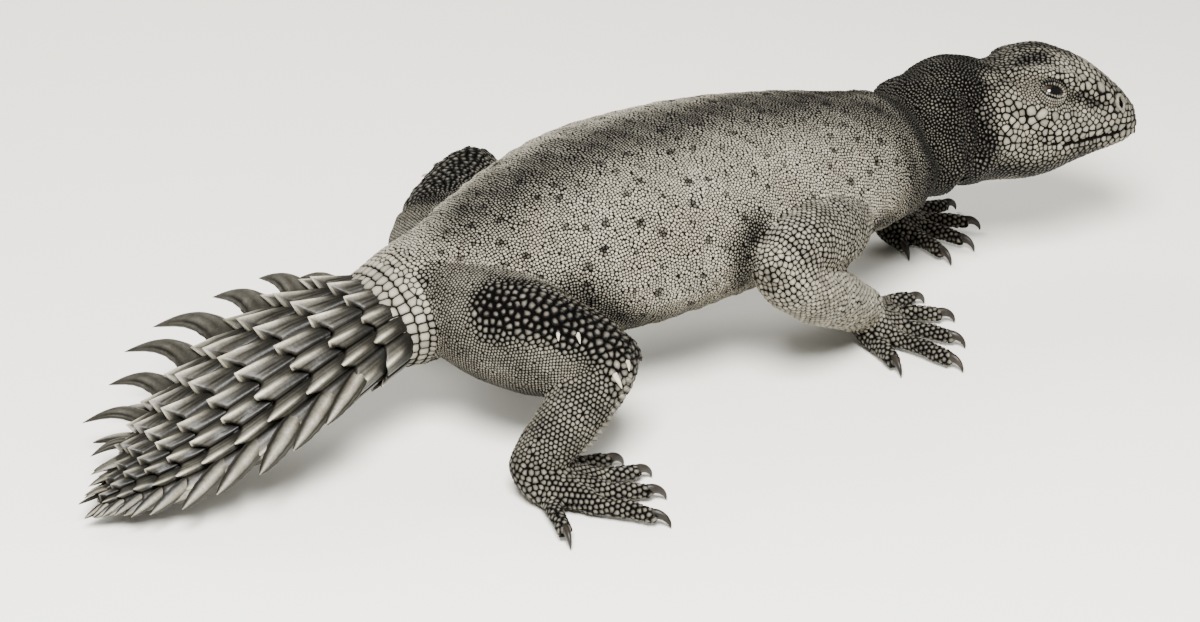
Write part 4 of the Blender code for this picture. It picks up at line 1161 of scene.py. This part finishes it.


# Where the body is dark: painted shade in the pits beside the legs, then on both sides alike painted shade
# under the belly and before the shoulder, and the darker top of the back. Each: a line, how far round it
# and how dark.
PAINTED_PIT_SHADES = [
    (
        [(33, -18.5, 34.5), (41.4, -20.8, 31.4), (47.7, -19.7, 27.4), (54, -19.8, 22.5), (60, -20, 18)],
        3.5, 0.95,
    ),
    ([(80, -25, 36), (76, -26, 33), (76, -26, 29), (78, -24.7, 23)], 3.2, 0.85),
    ([(40, 17, 32), (48, 22, 29), (56, 24, 25), (62, 23, 18)], 4.2, 0.9),
    ([(110, 18, 34), (107, 20, 29), (108, 19, 23)], 3.2, 0.8),
]
# Painted shade under the belly and before the shoulder, then the darker top of the back.
EVEN_SHADE_AND_DARK_BACK = [
    ([(58, -19, 15), (74, -22, 15), (90, -22, 16), (108, -16, 19)], 7.6, 0.97),
    ([(114, -17, 24), (120, -15, 21), (124, -11, 18)], 4.0, 0.9),
    ([(36, 0, 42), (60, 0, 49), (85, 0, 49), (111, -2, 45), (121, -4, 42)], 10.5, 0.84),
]

# How dark the limbs are, by kind.
LIMB_SHADES = {
    "thigh": 0.6, "shin": 0.66, "hindfoot": 0.48, "upper": 0.42, "forearm": 0.3, "forefoot": 0.56,
    "toe": 0.68,
}
# What the plates of the thighs and the pale shins add, then the painted shade on the far left legs and
# under the thighs.
PLATE_SHADE, SHIN_SHADE, FAR_LEG_PAINTED_SHADE, THIGH_UNDER_PAINTED_SHADE = 0.3, -0.22, 0.06, 0.25
# How dark the flanks are, and what the painted shade of their lower part and their hind and last parts
# add. Then the neck.
FLANK_SHADE, LOW_FLANK_PAINTED_SHADE, HIND_SHADE, RUMP_SHADE, NECK_SHADE = 0.02, 0.55, 0.05, 0.12, 0.94


def dark_and_painted_shade(points, kinds):
    """0 where the animal is pale, to 1 where it is darkest, with painted shade in pits, creases and
    undersides.
    """
    x, y, z = points.T
    right = np.where((y > 0)[:, None], points * (1, -1, 1), points)
    dark = np.select([kinds == kind for kind in LIMB_SHADES], list(LIMB_SHADES.values()), 0.1)
    plates = sum(near_line(points, line, 3.0, 8.0) for line in THIGH_PLATES.values())
    dark += PLATE_SHADE * np.clip(plates, 0, 1) * (kinds == "thigh")
    dark += SHIN_SHADE * bump(from_line(right, SHIN_PALE), 2.6) * (kinds == "shin")
    # Painted shade under the thighs and on the far left legs.
    under = THIGH_UNDER_PAINTED_SHADE * ramp(z, 21, 14) * (kinds == "thigh")
    dark += np.isin(kinds, ["thigh", "shin"]) * (FAR_LEG_PAINTED_SHADE * (y > 5) + under)
    # Painted shade on the lower flank.
    flank = FLANK_SHADE + LOW_FLANK_PAINTED_SHADE * ramp(z, 25, 16)
    flank += HIND_SHADE * ramp(x, 52, 36) + RUMP_SHADE * ramp(x, 30, 22)
    neck = NECK_SHADE * ramp(x, 112, 127) * (1 - 0.16 * np.sin(1.15 * x + 0.1 * z))
    dark = np.where(kinds == "trunk", np.maximum(flank, neck), dark)
    # Painted shade in the pits beside the legs, under the belly and before the shoulder; the top of the back
    # is darker.
    pits = [depth * bump(from_line(points, line), radius) for line, radius, depth in PAINTED_PIT_SHADES]
    pits += [depth * bump(from_line(right, line), radius) for line, radius, depth in EVEN_SHADE_AND_DARK_BACK]
    dark = np.maximum(dark, np.max(pits, axis=0) * np.isin(kinds, ["trunk", "thigh", "upper"]))
    # The head's dark places, with painted shade in its folds, hollows and under the jaw and throat.
    near = (x > HEAD_FROM) & np.isin(kinds, ["head", "trunk"])
    here = left_side(points[near])
    shades = [depth * bump(from_line(here, line), radius) for line, radius, depth in HEAD_DARK_AND_PAINTED_SHADE.values()]
    nape = FACE_SHADE + (1 - FACE_SHADE) * (1 - ramp(here[:, 0], -5.0, 2.0))
    dark[near] = np.maximum.reduce([nape, *shades])
    coarse = np.sin(0.6 * x + 0.4 * z) * np.sin(0.5 * y + 0.3 * x)
    fine = np.sin(1.7 * x) * np.sin(1.9 * z + y)
    return np.clip(dark + 0.09 * coarse + 0.05 * fine, 0, 1)


def unwrap(found, tubes):
    """Where points of the skin lie on a flat map, which has a strip for each tube of the flesh."""
    _, number, station, angle = found
    lengths = np.array([len(tube.middle) for tube in tubes.values()])
    return np.column_stack([
        (number + 0.5 + 0.45 * angle / math.pi) / len(lengths),
        0.03 + 0.94 * (station + 0.5) / lengths[number],
    ])


# The tail


def tail_section(x):
    """The tail core at a place along it: its middle, half width, height above and depth below."""
    rows = np.array(TAIL[::-1], float)
    values = [np.interp(x, rows[:, 0], rows[:, k]) for k in range(1, 6)]
    if x < rows[0, 0]:
        fall = rows[0, 0] - x
        values[1] -= 0.35 * fall
        values[2:] = [v * max(0.25, 1 - 0.16 * fall) for v in values[2:]]
    return values


def on_tail(x, angle, lift):
    """Points of the tail's surface at angles round it, 0 at its left side, with a lift off it."""
    x, angle, lift = (np.asarray(v, float) for v in np.broadcast_arrays(x, angle, lift))
    sections = np.array([tail_section(v) for v in x.ravel()]).reshape(*x.shape, 5)
    y, z, width, above, below = np.moveaxis(sections, -1, 0)
    height = np.where(np.sin(angle) > 0, above, below)
    return np.stack([x, y + (width + lift) * np.cos(angle), z + (height + lift) * np.sin(angle)], -1)


def grid_solid(grid, under):
    """Points and faces of a curved plate over a grid of points, closed below at a middle point."""
    rows, columns = grid.shape[:2]
    index = np.arange(rows * columns).reshape(rows, columns)
    rim = np.concatenate([index[0], index[1:, -1], index[-1, -2::-1], index[-2:0:-1, 0]])
    points = np.vstack([grid.reshape(-1, 3), under])
    quads = np.stack([index[:-1, :-1], index[:-1, 1:], index[1:, 1:], index[1:, :-1]], -1).reshape(-1, 4)
    base = rows * columns
    fan = np.stack([np.roll(rim, -1), rim, np.full(len(rim), base)], -1)
    return points, quads, fan


def scute(x, length, middle, half, keel, point, rng):
    """One keeled scute: its front under the whorl before it, its keel rising to a point behind."""
    u, v = np.meshgrid(np.linspace(-1, 1, SCUTE_GRID[0]), np.linspace(0, 1, SCUTE_GRID[1]))
    lean = rng.uniform(-0.16, 0.16)
    roof = np.clip(1 - np.abs(u - lean) / 1.05, 0, 1)
    front = x + length * 1.16
    hind = x - point * length * np.clip(1 - np.abs(u - lean) / 0.95, 0, 1) ** 1.5
    places = front + (hind - front) * v
    angles = middle + half * u
    lift = -0.6 + 1.15 * v ** 0.8 + keel * roof ** 1.9 * (0.04 + 0.96 * v ** 1.3)
    lift -= 1.1 * np.abs(u) ** 12 + 0.3 * np.clip((v - 0.93) / 0.07, 0, 1) * (1 - roof)
    lift += 0.05 * np.sin(u * 21 + rng.uniform(0, 6)) * v * (1 - roof) + rng.uniform(-0.08, 0.08)
    streaks = 0.06 * np.sin(u * 34 + rng.uniform(0, 6)) + 0.04 * np.sin(u * 61 + 5 * v)
    # The tone: painted shade on the front under the whorl before, on the sides and along the hind rim, and a
    # pale keel crest, partly painted highlight; the streaks are grain.
    pale = (0.06 * v + 1.5 * roof ** 9 * ramp(v, 0.3, 0.85) + streaks * v) * (1 - np.abs(u) ** 4)
    pale *= ramp(v, 0.08, 0.45) * (1 - 0.9 * ramp(v, 0.95, 1.0) * (1 - roof ** 4))
    pale *= rng.uniform(0.8, 1.1) * (1 - 0.6 * ramp(x, -24, -33))
    hollow = np.full(len(u), -1.3)
    columns = [on_tail(places[:, k], angles[:, k], hollow)[:, None] for k in (0, -1)]
    grid = np.concatenate([columns[0], on_tail(places, angles, lift), columns[1]], axis=1)
    skirt = grid[-1] + (0.25 * length, 0, 0)
    skirt[1:-1] = on_tail(places[-1] + 0.25 * length, angles[-1], np.full_like(u[-1], -1.0))
    tones = np.pad(pale, ((0, 1), (1, 1)))
    under = on_tail(x + 0.6 * length, middle, -2.0)
    points, quads, fan = grid_solid(np.concatenate([grid, skirt[None]]), under)
    return points, quads, fan, np.append(tones, 0)


def side_spine(x, length, side, drop, tip, base, leaf, rng):
    """A big flattened spine at one side of a whorl: a hook bowed forwards and up, or a leaf."""
    root = on_tail(x + 0.6 * length, drop if side > 0 else math.pi - drop, -1.9)
    tip = np.asarray(tip, float)
    ahead = unit(tip - root)
    forwards = unit(np.array([1.0, 0, 0]) - ahead * ahead[0])
    up = np.cross(ahead, forwards)
    up = up if up[2] > 0 else -up
    reach = np.linalg.norm(tip - root)
    around = circle(SPINE_SIDES)
    ridge = np.clip(np.sin(around), 0, 1) ** 4
    edge = np.clip(np.cos(around), 0, 1) ** 3
    inner = 1 - np.abs(np.cos(around)) ** 3
    # The shade of a spine: leaves pale on their upper ridge and dark at their rims, hooks pale along their
    # fore edge, partly painted highlight.
    shade = (0.02 + 0.45 * ridge ** 3) * inner if leaf else 0.04 + 0.32 * edge + 0.05 * ridge
    bend = (forwards * 0.10 + (0, 0, 0.12)) * reach * (0.35 if leaf else 1.0)
    sections, tones = [], []
    for t in np.linspace(0, 0.985, SPINE_STATIONS):
        bow = bend * math.sin(math.pi * t) * (1 - 0.15 * t)
        profile = math.sin(math.pi * (0.12 + 0.88 * t)) ** 0.7 if leaf else (1 - t ** 1.6) ** 0.95
        half = length * base * profile + 0.03
        thick = half * (0.34 + 0.14 * t) * (1 + 0.6 * ridge)
        ripple = 1 + 0.04 * math.sin(t * 40 + rng.uniform(0, 1))
        wide = np.cos(around)[:, None] * half * ripple * forwards
        sections.append(root + (tip - root) * t + bow + wide + (np.sin(around) * thick)[:, None] * up)
        grain = 0.06 * np.sin(9 * around + 3 * t) * math.sin(math.pi * t)
        # Painted shade at the root, where the spine leaves the tail.
        tones.append((shade + grain) * min(1, 0.2 + 2.2 * t))
    points, quads, fans = closed_tube(sections, (root, tip))
    tones = np.append(np.concatenate(tones), (0.1, 0.8))
    if np.cross(forwards, up) @ ahead < 0:
        return points, quads[:, ::-1], fans[:, ::-1], tones
    return points, quads, fans, tones


def build_tail(rng, material):
    """The whorls: keeled scutes above, flatter ones below, hooks at the left and leaves at the right."""
    scutes, spines = Pile(), Pile()
    for (x, *tips), (ahead, *_) in zip(WHORLS[1:], WHORLS):
        length = ahead - x
        count = 6 if x > -30 else 4
        span = WHORL_SPAN / count
        for middle, keel, point in ((math.pi / 2, 3.0, 0.5), (-math.pi / 2, 0.35, 0.12)):
            for k in range(count):
                angle = middle + WHORL_SPAN * ((k + 0.5) / count - 0.5)
                keel_here = keel * min(1.0, length / 6) * (1 + 0.25 * abs(k + 0.5 - count / 2) / count)
                scutes.add(*scute(x, length, angle, span / 2 * 1.02, keel_here, point, rng))
        for side, tip in zip((1, -1), tips):
            scutes.add(*scute(x, length, 0.0 if side > 0 else math.pi, 0.42, 1.0, 0.2, rng))
            if tip is None:
                continue
            leaf = side < 0
            spines.add(*side_spine(x, length, side, 0.22, tip, 0.28 if leaf else 0.58, leaf, rng))
            y, z, _, _, below = tail_section(x)
            middle = np.array([x, y, z])
            low = middle + 0.74 * (np.array(tip) - middle) + (-2.0, 0, -0.3 * below)
            low[2] = max(low[2], 1.0)
            spines.add(*side_spine(x, 0.85 * length, side, -0.5, low, 0.34, True, rng))
    for pile, name in ((scutes, "tail_scutes"), (spines, "tail_spines")):
        made = pile.build(name, material)
        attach(made, "root")


# Claws, spines of the legs, nostrils, eyes

# The pale spines of the right hind leg: limb, root, the way each points, length and radius.
LEG_SPINES = [
    ("thigh_right", (35.4, -29.4, 28.8), (-0.25, -0.6, -0.75), 1.5, 0.34),
    ("thigh_right", (38.3, -31.1, 28.2), (-0.2, -0.6, -0.8), 1.6, 0.36),
    ("shin_right", (45.1, -36.1, 23.4), (-0.5, -0.5, -0.75), 1.6, 0.4),
    ("shin_right", (42.1, -37.3, 22.0), (0.1, -0.35, -0.95), 2.2, 0.5),
]
# The blunt tubercles along its shin: the first place, the last one and how many.
TUBERCLES, TUBERCLE_COUNT = [(44.6, -36.6, 20.6), (36.6, -37.2, 8.6)], 11
TUBERCLE_AIM, TUBERCLE_LENGTH, TUBERCLE_R = (0.5, -0.6, -0.2), 0.8, 0.55


def on_both_legs(limb, place, aim, tubes):
    """A place and a direction of a right limb, and the same of the left one in its own pose."""
    right, left = tubes[limb], tubes[limb.replace("right", "left")]
    k = int(np.linalg.norm(right.middle - place, axis=1).argmin())
    offset = unit(np.asarray(place) - right.middle[k])
    angle = math.atan2(offset @ right.up[k], offset @ right.side[k])
    same = round(k * (len(left.middle) - 1) / (len(right.middle) - 1))
    aim = np.array(aim)
    return (place, aim), (left.ring(same, np.array([math.pi - angle]))[0], aim * (1, -1, 1))


def build_leg_spines(tree, tubes, material):
    """Cones on the skin, bent down: long pale ones on the thighs and knees, blunt ones on the shins."""
    pile = Pile()
    around = circle(12)
    steps = np.linspace(0, 1, TUBERCLE_COUNT)[:, None]
    along = (1 - steps) * np.array(TUBERCLES[0]) + steps * np.array(TUBERCLES[1])
    rows = LEG_SPINES + [("shin_right", place, TUBERCLE_AIM, TUBERCLE_LENGTH, TUBERCLE_R) for place in along]
    for limb, place, aim, length, radius in rows:
        blunt = length < 1
        for spot, heading in on_both_legs(limb, place, aim, tubes):
            root, normal = (np.array(v) for v in tree.find_nearest(Vector(spot))[:2])
            towards = unit(normal * 0.4 + unit(heading))
            side = unit(np.cross(towards, normal + (0.01, 0, 0)))
            other = np.cross(towards, side)
            sections = []
            for t in np.linspace(-0.35, 0.97, 9):
                wide = radius * (1 - max(t, 0)) ** (0.5 if blunt else 0.75) + 0.02
                centre = root + towards * length * t + normal * (0.15 + 0.12 * math.sin(math.pi * max(t, 0)))
                sections.append(centre + wide * oval(around, side, other))
            pile.add(*closed_tube(sections), 0.2 if blunt else 0.85)
    made = pile.build("leg_spines", material)
    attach(made, "root")


def build_nostrils(tree, material):
    """The raised oval rim round each nostril."""
    pile = Pile()
    turns, sides = 32, 10
    wide, high = NOSTRIL_R
    for side in (-1, 1):
        out = unit(turned((0.55, side * 0.8, 0.22)))
        up = turned((0, 0, 1))
        up = unit(up - out * (up @ out))
        across = np.cross(up, out)
        middle = np.array(tree.find_nearest(Vector(on_head(NOSTRIL_AT, side)))[0]) + out * 0.3
        sections = []
        for p in circle(turns):
            towards = unit(math.cos(p) * across / wide + math.sin(p) * up / high)
            centre = middle + math.cos(p) * across * wide + math.sin(p) * up * high
            rim = 0.34 + 0.03 * math.sin(5 * p)
            sections.append(centre + rim * oval(circle(sides), towards, 1.3 * out))
        quads = tube_faces(turns + 1, sides) % (turns * sides)
        pile.add(np.concatenate(sections), quads, np.empty((0, 3), int), 0.3)
    made = pile.build("nostril_rims", material)
    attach(made, "root")


def build_claws(material):
    """The hooked claws, in place of the plainer ones of the solids."""
    pile = Pile()
    around = circle(14)
    upright = np.array([0.0, 0, 1])
    for foot in FEET:
        for index in range(5):
            rows, ahead = toe_rows(foot, index)
            side = np.array([-ahead[1], ahead[0], 0])
            start = np.array(rows[-1][:3]) + ahead * (TOE_TRIM + GAP) + upright * CLAW_LIFT
            sections = []
            for t in np.linspace(-0.3, 0.985, 14):
                turn = CLAW_TURN * max(t, 0)
                reach = CLAW_REACH * (math.sin(turn) if t > 0 else 1.4 * t)
                centre = start + ahead * reach - upright * CLAW_DROP * (1 - math.cos(turn))
                size = CLAW_R * (1 - max(t, 0)) ** 0.75 + 0.05
                up = ahead * math.sin(turn) + upright * math.cos(turn)
                ring = oval(around, size * 0.66 * side, size * up)
                lower = (np.sin(around) <= 0)[:, None] * np.sin(around)[:, None]
                sections.append(centre + ring - 0.15 * size * lower * up)
            points, quads, fans = closed_tube(sections)
            points[:, 2] = np.maximum(points[:, 2], FLOOR_GAP)
            pile.add(points, quads[:, ::-1], fans[:, ::-1], 0.5)
    made = pile.build("claws", material)
    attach(made, "root")
    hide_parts(*(f"claw_{foot}_{k}" for foot in FEET for k in range(1, 6)))


def build_eye(side, material):
    """A smooth eyeball. Its points know how far they are from the pupil and from its hind corner."""
    word = "right" if side < 0 else "left"
    centre = on_head(EYE_AT, side)
    along, across, look = eye_axes(side)
    pole = unit(look + PUPIL_AHEAD * along)
    first = unit(np.cross(pole, across))
    around = oval(circle(44), first, np.cross(pole, first))
    angles = math.pi * np.arange(1, 31) / 31
    sections = [centre + EYE_R * (math.cos(a) * pole + math.sin(a) * around) for a in angles]
    points, quads, fans = closed_tube(sections, (centre + EYE_R * pole, centre - EYE_R * pole))
    made = mesh_from(f"eyeball_{word}", points, [quads, fans], material)
    directions = (points - centre) / EYE_R
    set_values(made, "rho", np.arccos(np.clip(directions @ pole, -1, 1)))
    set_values(made, "corner", ramp(-directions @ along, 0.42, 0.62))
    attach(made, "root")
    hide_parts(f"eye_{word}")


# Materials


class Look:
    """A material, and the nodes that its colour and its bumps are made of."""

    def __init__(self, name, roughness, gloss=0.5):
        self.material = bpy.data.materials.new(name)
        self.material.use_nodes = True
        self.nodes, self.links = self.material.node_tree.nodes, self.material.node_tree.links
        self.shader = self.nodes["Principled BSDF"]
        self.shader.inputs["Roughness"].default_value = roughness
        self.shader.inputs["Specular IOR Level"].default_value = gloss

    def fill(self, node, inputs):
        """Sets inputs of a node, each to a socket or a plain value."""
        for key, value in inputs.items():
            if isinstance(value, bpy.types.NodeSocket):
                self.links.new(value, node.inputs[key])
            else:
                node.inputs[key].default_value = (*value, 1) if isinstance(value, tuple) else value
        return node

    def mixed(self, factor, first, second, blend="MIX"):
        mix = self.nodes.new("ShaderNodeMix")
        mix.data_type = "RGBA"
        mix.blend_type = blend
        return self.fill(mix, {0: factor, 6: first, 7: second}).outputs[2]

    def attribute(self, name):
        node = self.nodes.new("ShaderNodeAttribute")
        node.attribute_name = name
        return node.outputs["Fac"]

    def ranged(self, value, low, high, new_low=0.0, new_high=1.0):
        limits = {"From Min": low, "From Max": high, "To Min": new_low, "To Max": new_high}
        return self.fill(self.nodes.new("ShaderNodeMapRange"), {"Value": value, **limits}).outputs["Result"]

    def noise(self, scale, detail):
        """Noise over the animal, its scale in turns for each millimetre."""
        place = self.nodes.new("ShaderNodeTexCoord").outputs["Object"]
        node = self.nodes.new("ShaderNodeTexNoise")
        return self.fill(node, {"Vector": place, "Scale": scale / MM, "Detail": detail}).outputs["Fac"]

    def times(self, colour, number):
        """A colour multiplied by a number."""
        grey = self.fill(self.nodes.new("ShaderNodeCombineColor"), {k: number for k in range(3)})
        return self.mixed(1.0, colour, grey.outputs[0], "MULTIPLY")

    def done(self, colour, height=None, strength=0.0, depth=0.0):
        """The material, with this colour and bumps of this depth in millimetres."""
        self.links.new(colour, self.shader.inputs["Base Color"])
        if height is not None:
            bump_node = self.nodes.new("ShaderNodeBump")
            self.fill(bump_node, {"Height": height, "Strength": strength, "Distance": depth * MM})
            self.links.new(bump_node.outputs["Normal"], self.shader.inputs["Normal"])
        return self.material


def scaly_material(name, roughness, gloss):
    """Scales with painted shade at their edges and a painted highlight on top, or the skin between them,
    painted near black as shade, both with the same markings.
    """
    look = Look(name, roughness, gloss)
    dark = look.attribute("dark")
    blotch = look.ranged(look.noise(0.11, 4.0), 0.35, 0.65, 0, 0.35)
    colour = look.mixed(blotch, PALE_SCALE, BROWN_SCALE)
    colour = look.mixed(look.ranged(dark, 0, 1, 0, 0.86), colour, DARK_SCALE)
    colour = look.mixed(look.attribute("spot"), colour, SPOT_COLOUR)
    colour = look.times(colour, look.ranged(look.attribute("tone_and_painted_light"), 0, 1, 0.7, 1.3))
    # Painted shade at each scale's rim and painted highlight on its top; the shaded rim is wider where the
    # skin is darker.
    edge = look.ranged(dark, 0, 1, 0.1, 0.74)
    colour = look.times(colour, look.ranged(look.attribute("rise"), edge, 0.95, 0.015, 1.2))
    return look.done(colour, look.noise(2.2, 3.0), 0.25, 0.06)


def horn_material(name, pale, dark, gloss):
    """Horn with fine grain, paler on its ridges, partly as painted highlight, and with painted shade in its
    hollows.
    """
    look = Look(name, 0.42, gloss)
    colour = look.mixed(look.ranged(look.noise(0.35, 5.0), 0.3, 0.7), pale, dark)
    colour = look.times(colour, look.ranged(look.noise(2.4, 4.0), 0.3, 0.7, 0.72, 1.12))
    colour = look.times(colour, look.ranged(look.attribute("tone_and_painted_light"), 0, 1, 0.02, 1.5))
    return look.done(colour, look.noise(1.3, 6.0), 0.5, 0.12)


def eye_material():
    """A round black pupil in a dark brown iris, and a grey corner behind them, all glossy."""
    look = Look("eye_gloss", 0.07, 0.25)
    look.shader.inputs["Coat Weight"].default_value = 0.05
    rho = look.attribute("rho")
    iris = look.mixed(look.ranged(look.noise(1.6, 5.0), 0.35, 0.65), *IRIS)
    colour = look.mixed(look.ranged(rho, 0.36, 0.42), PUPIL, iris)
    colour = look.mixed(look.ranged(rho, 0.62, 0.72), colour, EYE_EDGE)
    return look.done(look.mixed(look.attribute("corner"), colour, EYE_CORNER))


# The stage


def build_stage():
    bm = bmesh.new()
    bmesh.ops.create_grid(bm, x_segments=1, y_segments=1, size=FLOOR_HALF)
    mesh = bpy.data.meshes.new("floor")
    bm.to_mesh(mesh)
    bm.free()
    floor = bpy.data.objects.new("floor", mesh)
    bpy.context.scene.collection.objects.link(floor)
    paper = Look("paper_floor", 0.9)
    paper.shader.inputs["Base Color"].default_value = (*FLOOR_COLOUR, 1)
    mesh.materials.append(paper.material)
    world = bpy.context.scene.world or bpy.data.worlds.new("world")
    bpy.context.scene.world = world
    world.use_nodes = True
    background = world.node_tree.nodes["Background"]
    background.inputs["Color"].default_value = (*WORLD_COLOUR, 1)
    background.inputs["Strength"].default_value = WORLD_LIGHT
    for name, place, size, power in LAMPS:
        light = bpy.data.lights.new(name, "AREA")
        light.energy = power
        light.size = size * MM
        lamp = bpy.data.objects.new(name, light)
        bpy.context.scene.collection.objects.link(lamp)
        lamp.location = to_row(place)
        lamp.visible_glossy = name == "key"
        aim = Vector(to_row(LAMP_TARGET)) - lamp.location
        lamp.rotation_euler = aim.to_track_quat("-Z", "Y").to_euler()


def build_camera():
    az, el = math.radians(CAMERA_AZIMUTH), math.radians(CAMERA_ELEVATION)
    back = Vector((math.sin(az) * math.cos(el), -math.cos(az) * math.cos(el), math.sin(el)))
    right = Vector((math.cos(az), math.sin(az), 0))
    up = back.cross(right)
    camera = bpy.data.cameras.new("camera")
    camera.lens = CAMERA_LENS
    camera.sensor_width = 36
    camera.clip_start = 0.01
    made = bpy.data.objects.new("camera", camera)
    bpy.context.scene.collection.objects.link(made)
    place = Vector(to_row(CAMERA_TARGET)) + back * CAMERA_DISTANCE * MM
    made.matrix_world = Matrix.Translation(place) @ Matrix((right, up, back)).transposed().to_4x4()
    bpy.context.scene.camera = made


def main():
    rng = np.random.default_rng(SEED)
    scaly = scaly_material("scale_skin", 0.5, 0.1)
    # The skin between the scales is painted near black, as shade.
    painted_shade_groove = scaly_material("groove_skin_painted_shade", 0.9, 0.02)
    horn = horn_material("scute_horn", *SCUTE_COLOURS, 0.18)
    claw = horn_material("claw_horn", *CLAW_COLOURS, 0.2)

    points, quads = skin_mesh()
    tubes = flesh_tubes()
    kinds = nearest_tubes(points, tubes)[0]
    spots = spot_finder(points, kinds, rng)
    all_points, faces = points, quads
    for side in (-1, 1):
        lid_points, lid_quads = lid_mesh(side)
        faces = np.vstack([faces, lid_quads + len(all_points)])
        all_points = np.vstack([all_points, lid_points])
    face_normals = unit(point_normals(all_points, faces)[faces].mean(1))
    tree = BVHTree.FromPolygons(all_points.tolist(), faces.tolist())

    # The skin between the scales, painted near black as shade.
    skin = mesh_from("skin", all_points, [faces], painted_shade_groove)
    all_kinds = np.append(kinds, np.full(len(all_points) - len(points), "head"))
    set_values(skin, "tone_and_painted_light", np.full(len(all_points), 0.5))
    set_values(skin, "spot", spots(all_points, all_kinds))
    set_values(skin, "dark", dark_and_painted_shade(all_points, all_kinds))
    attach(skin, "root")
    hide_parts(*LIMBS, *FEET, "head", "neck", "torso", "tail")

    seeds = Seeds(tree, face_normals)
    plant_all(seeds, tubes, points, kinds, rng)
    fill_bare(seeds, points, rng)
    build_scales(seeds, tubes, spots, rng, scaly)

    build_tail(rng, horn)
    build_leg_spines(tree, tubes, horn)
    build_nostrils(tree, horn)
    build_claws(claw)
    eye = eye_material()
    for side in (-1, 1):
        build_eye(side, eye)
    build_stage()
    build_camera()


main()
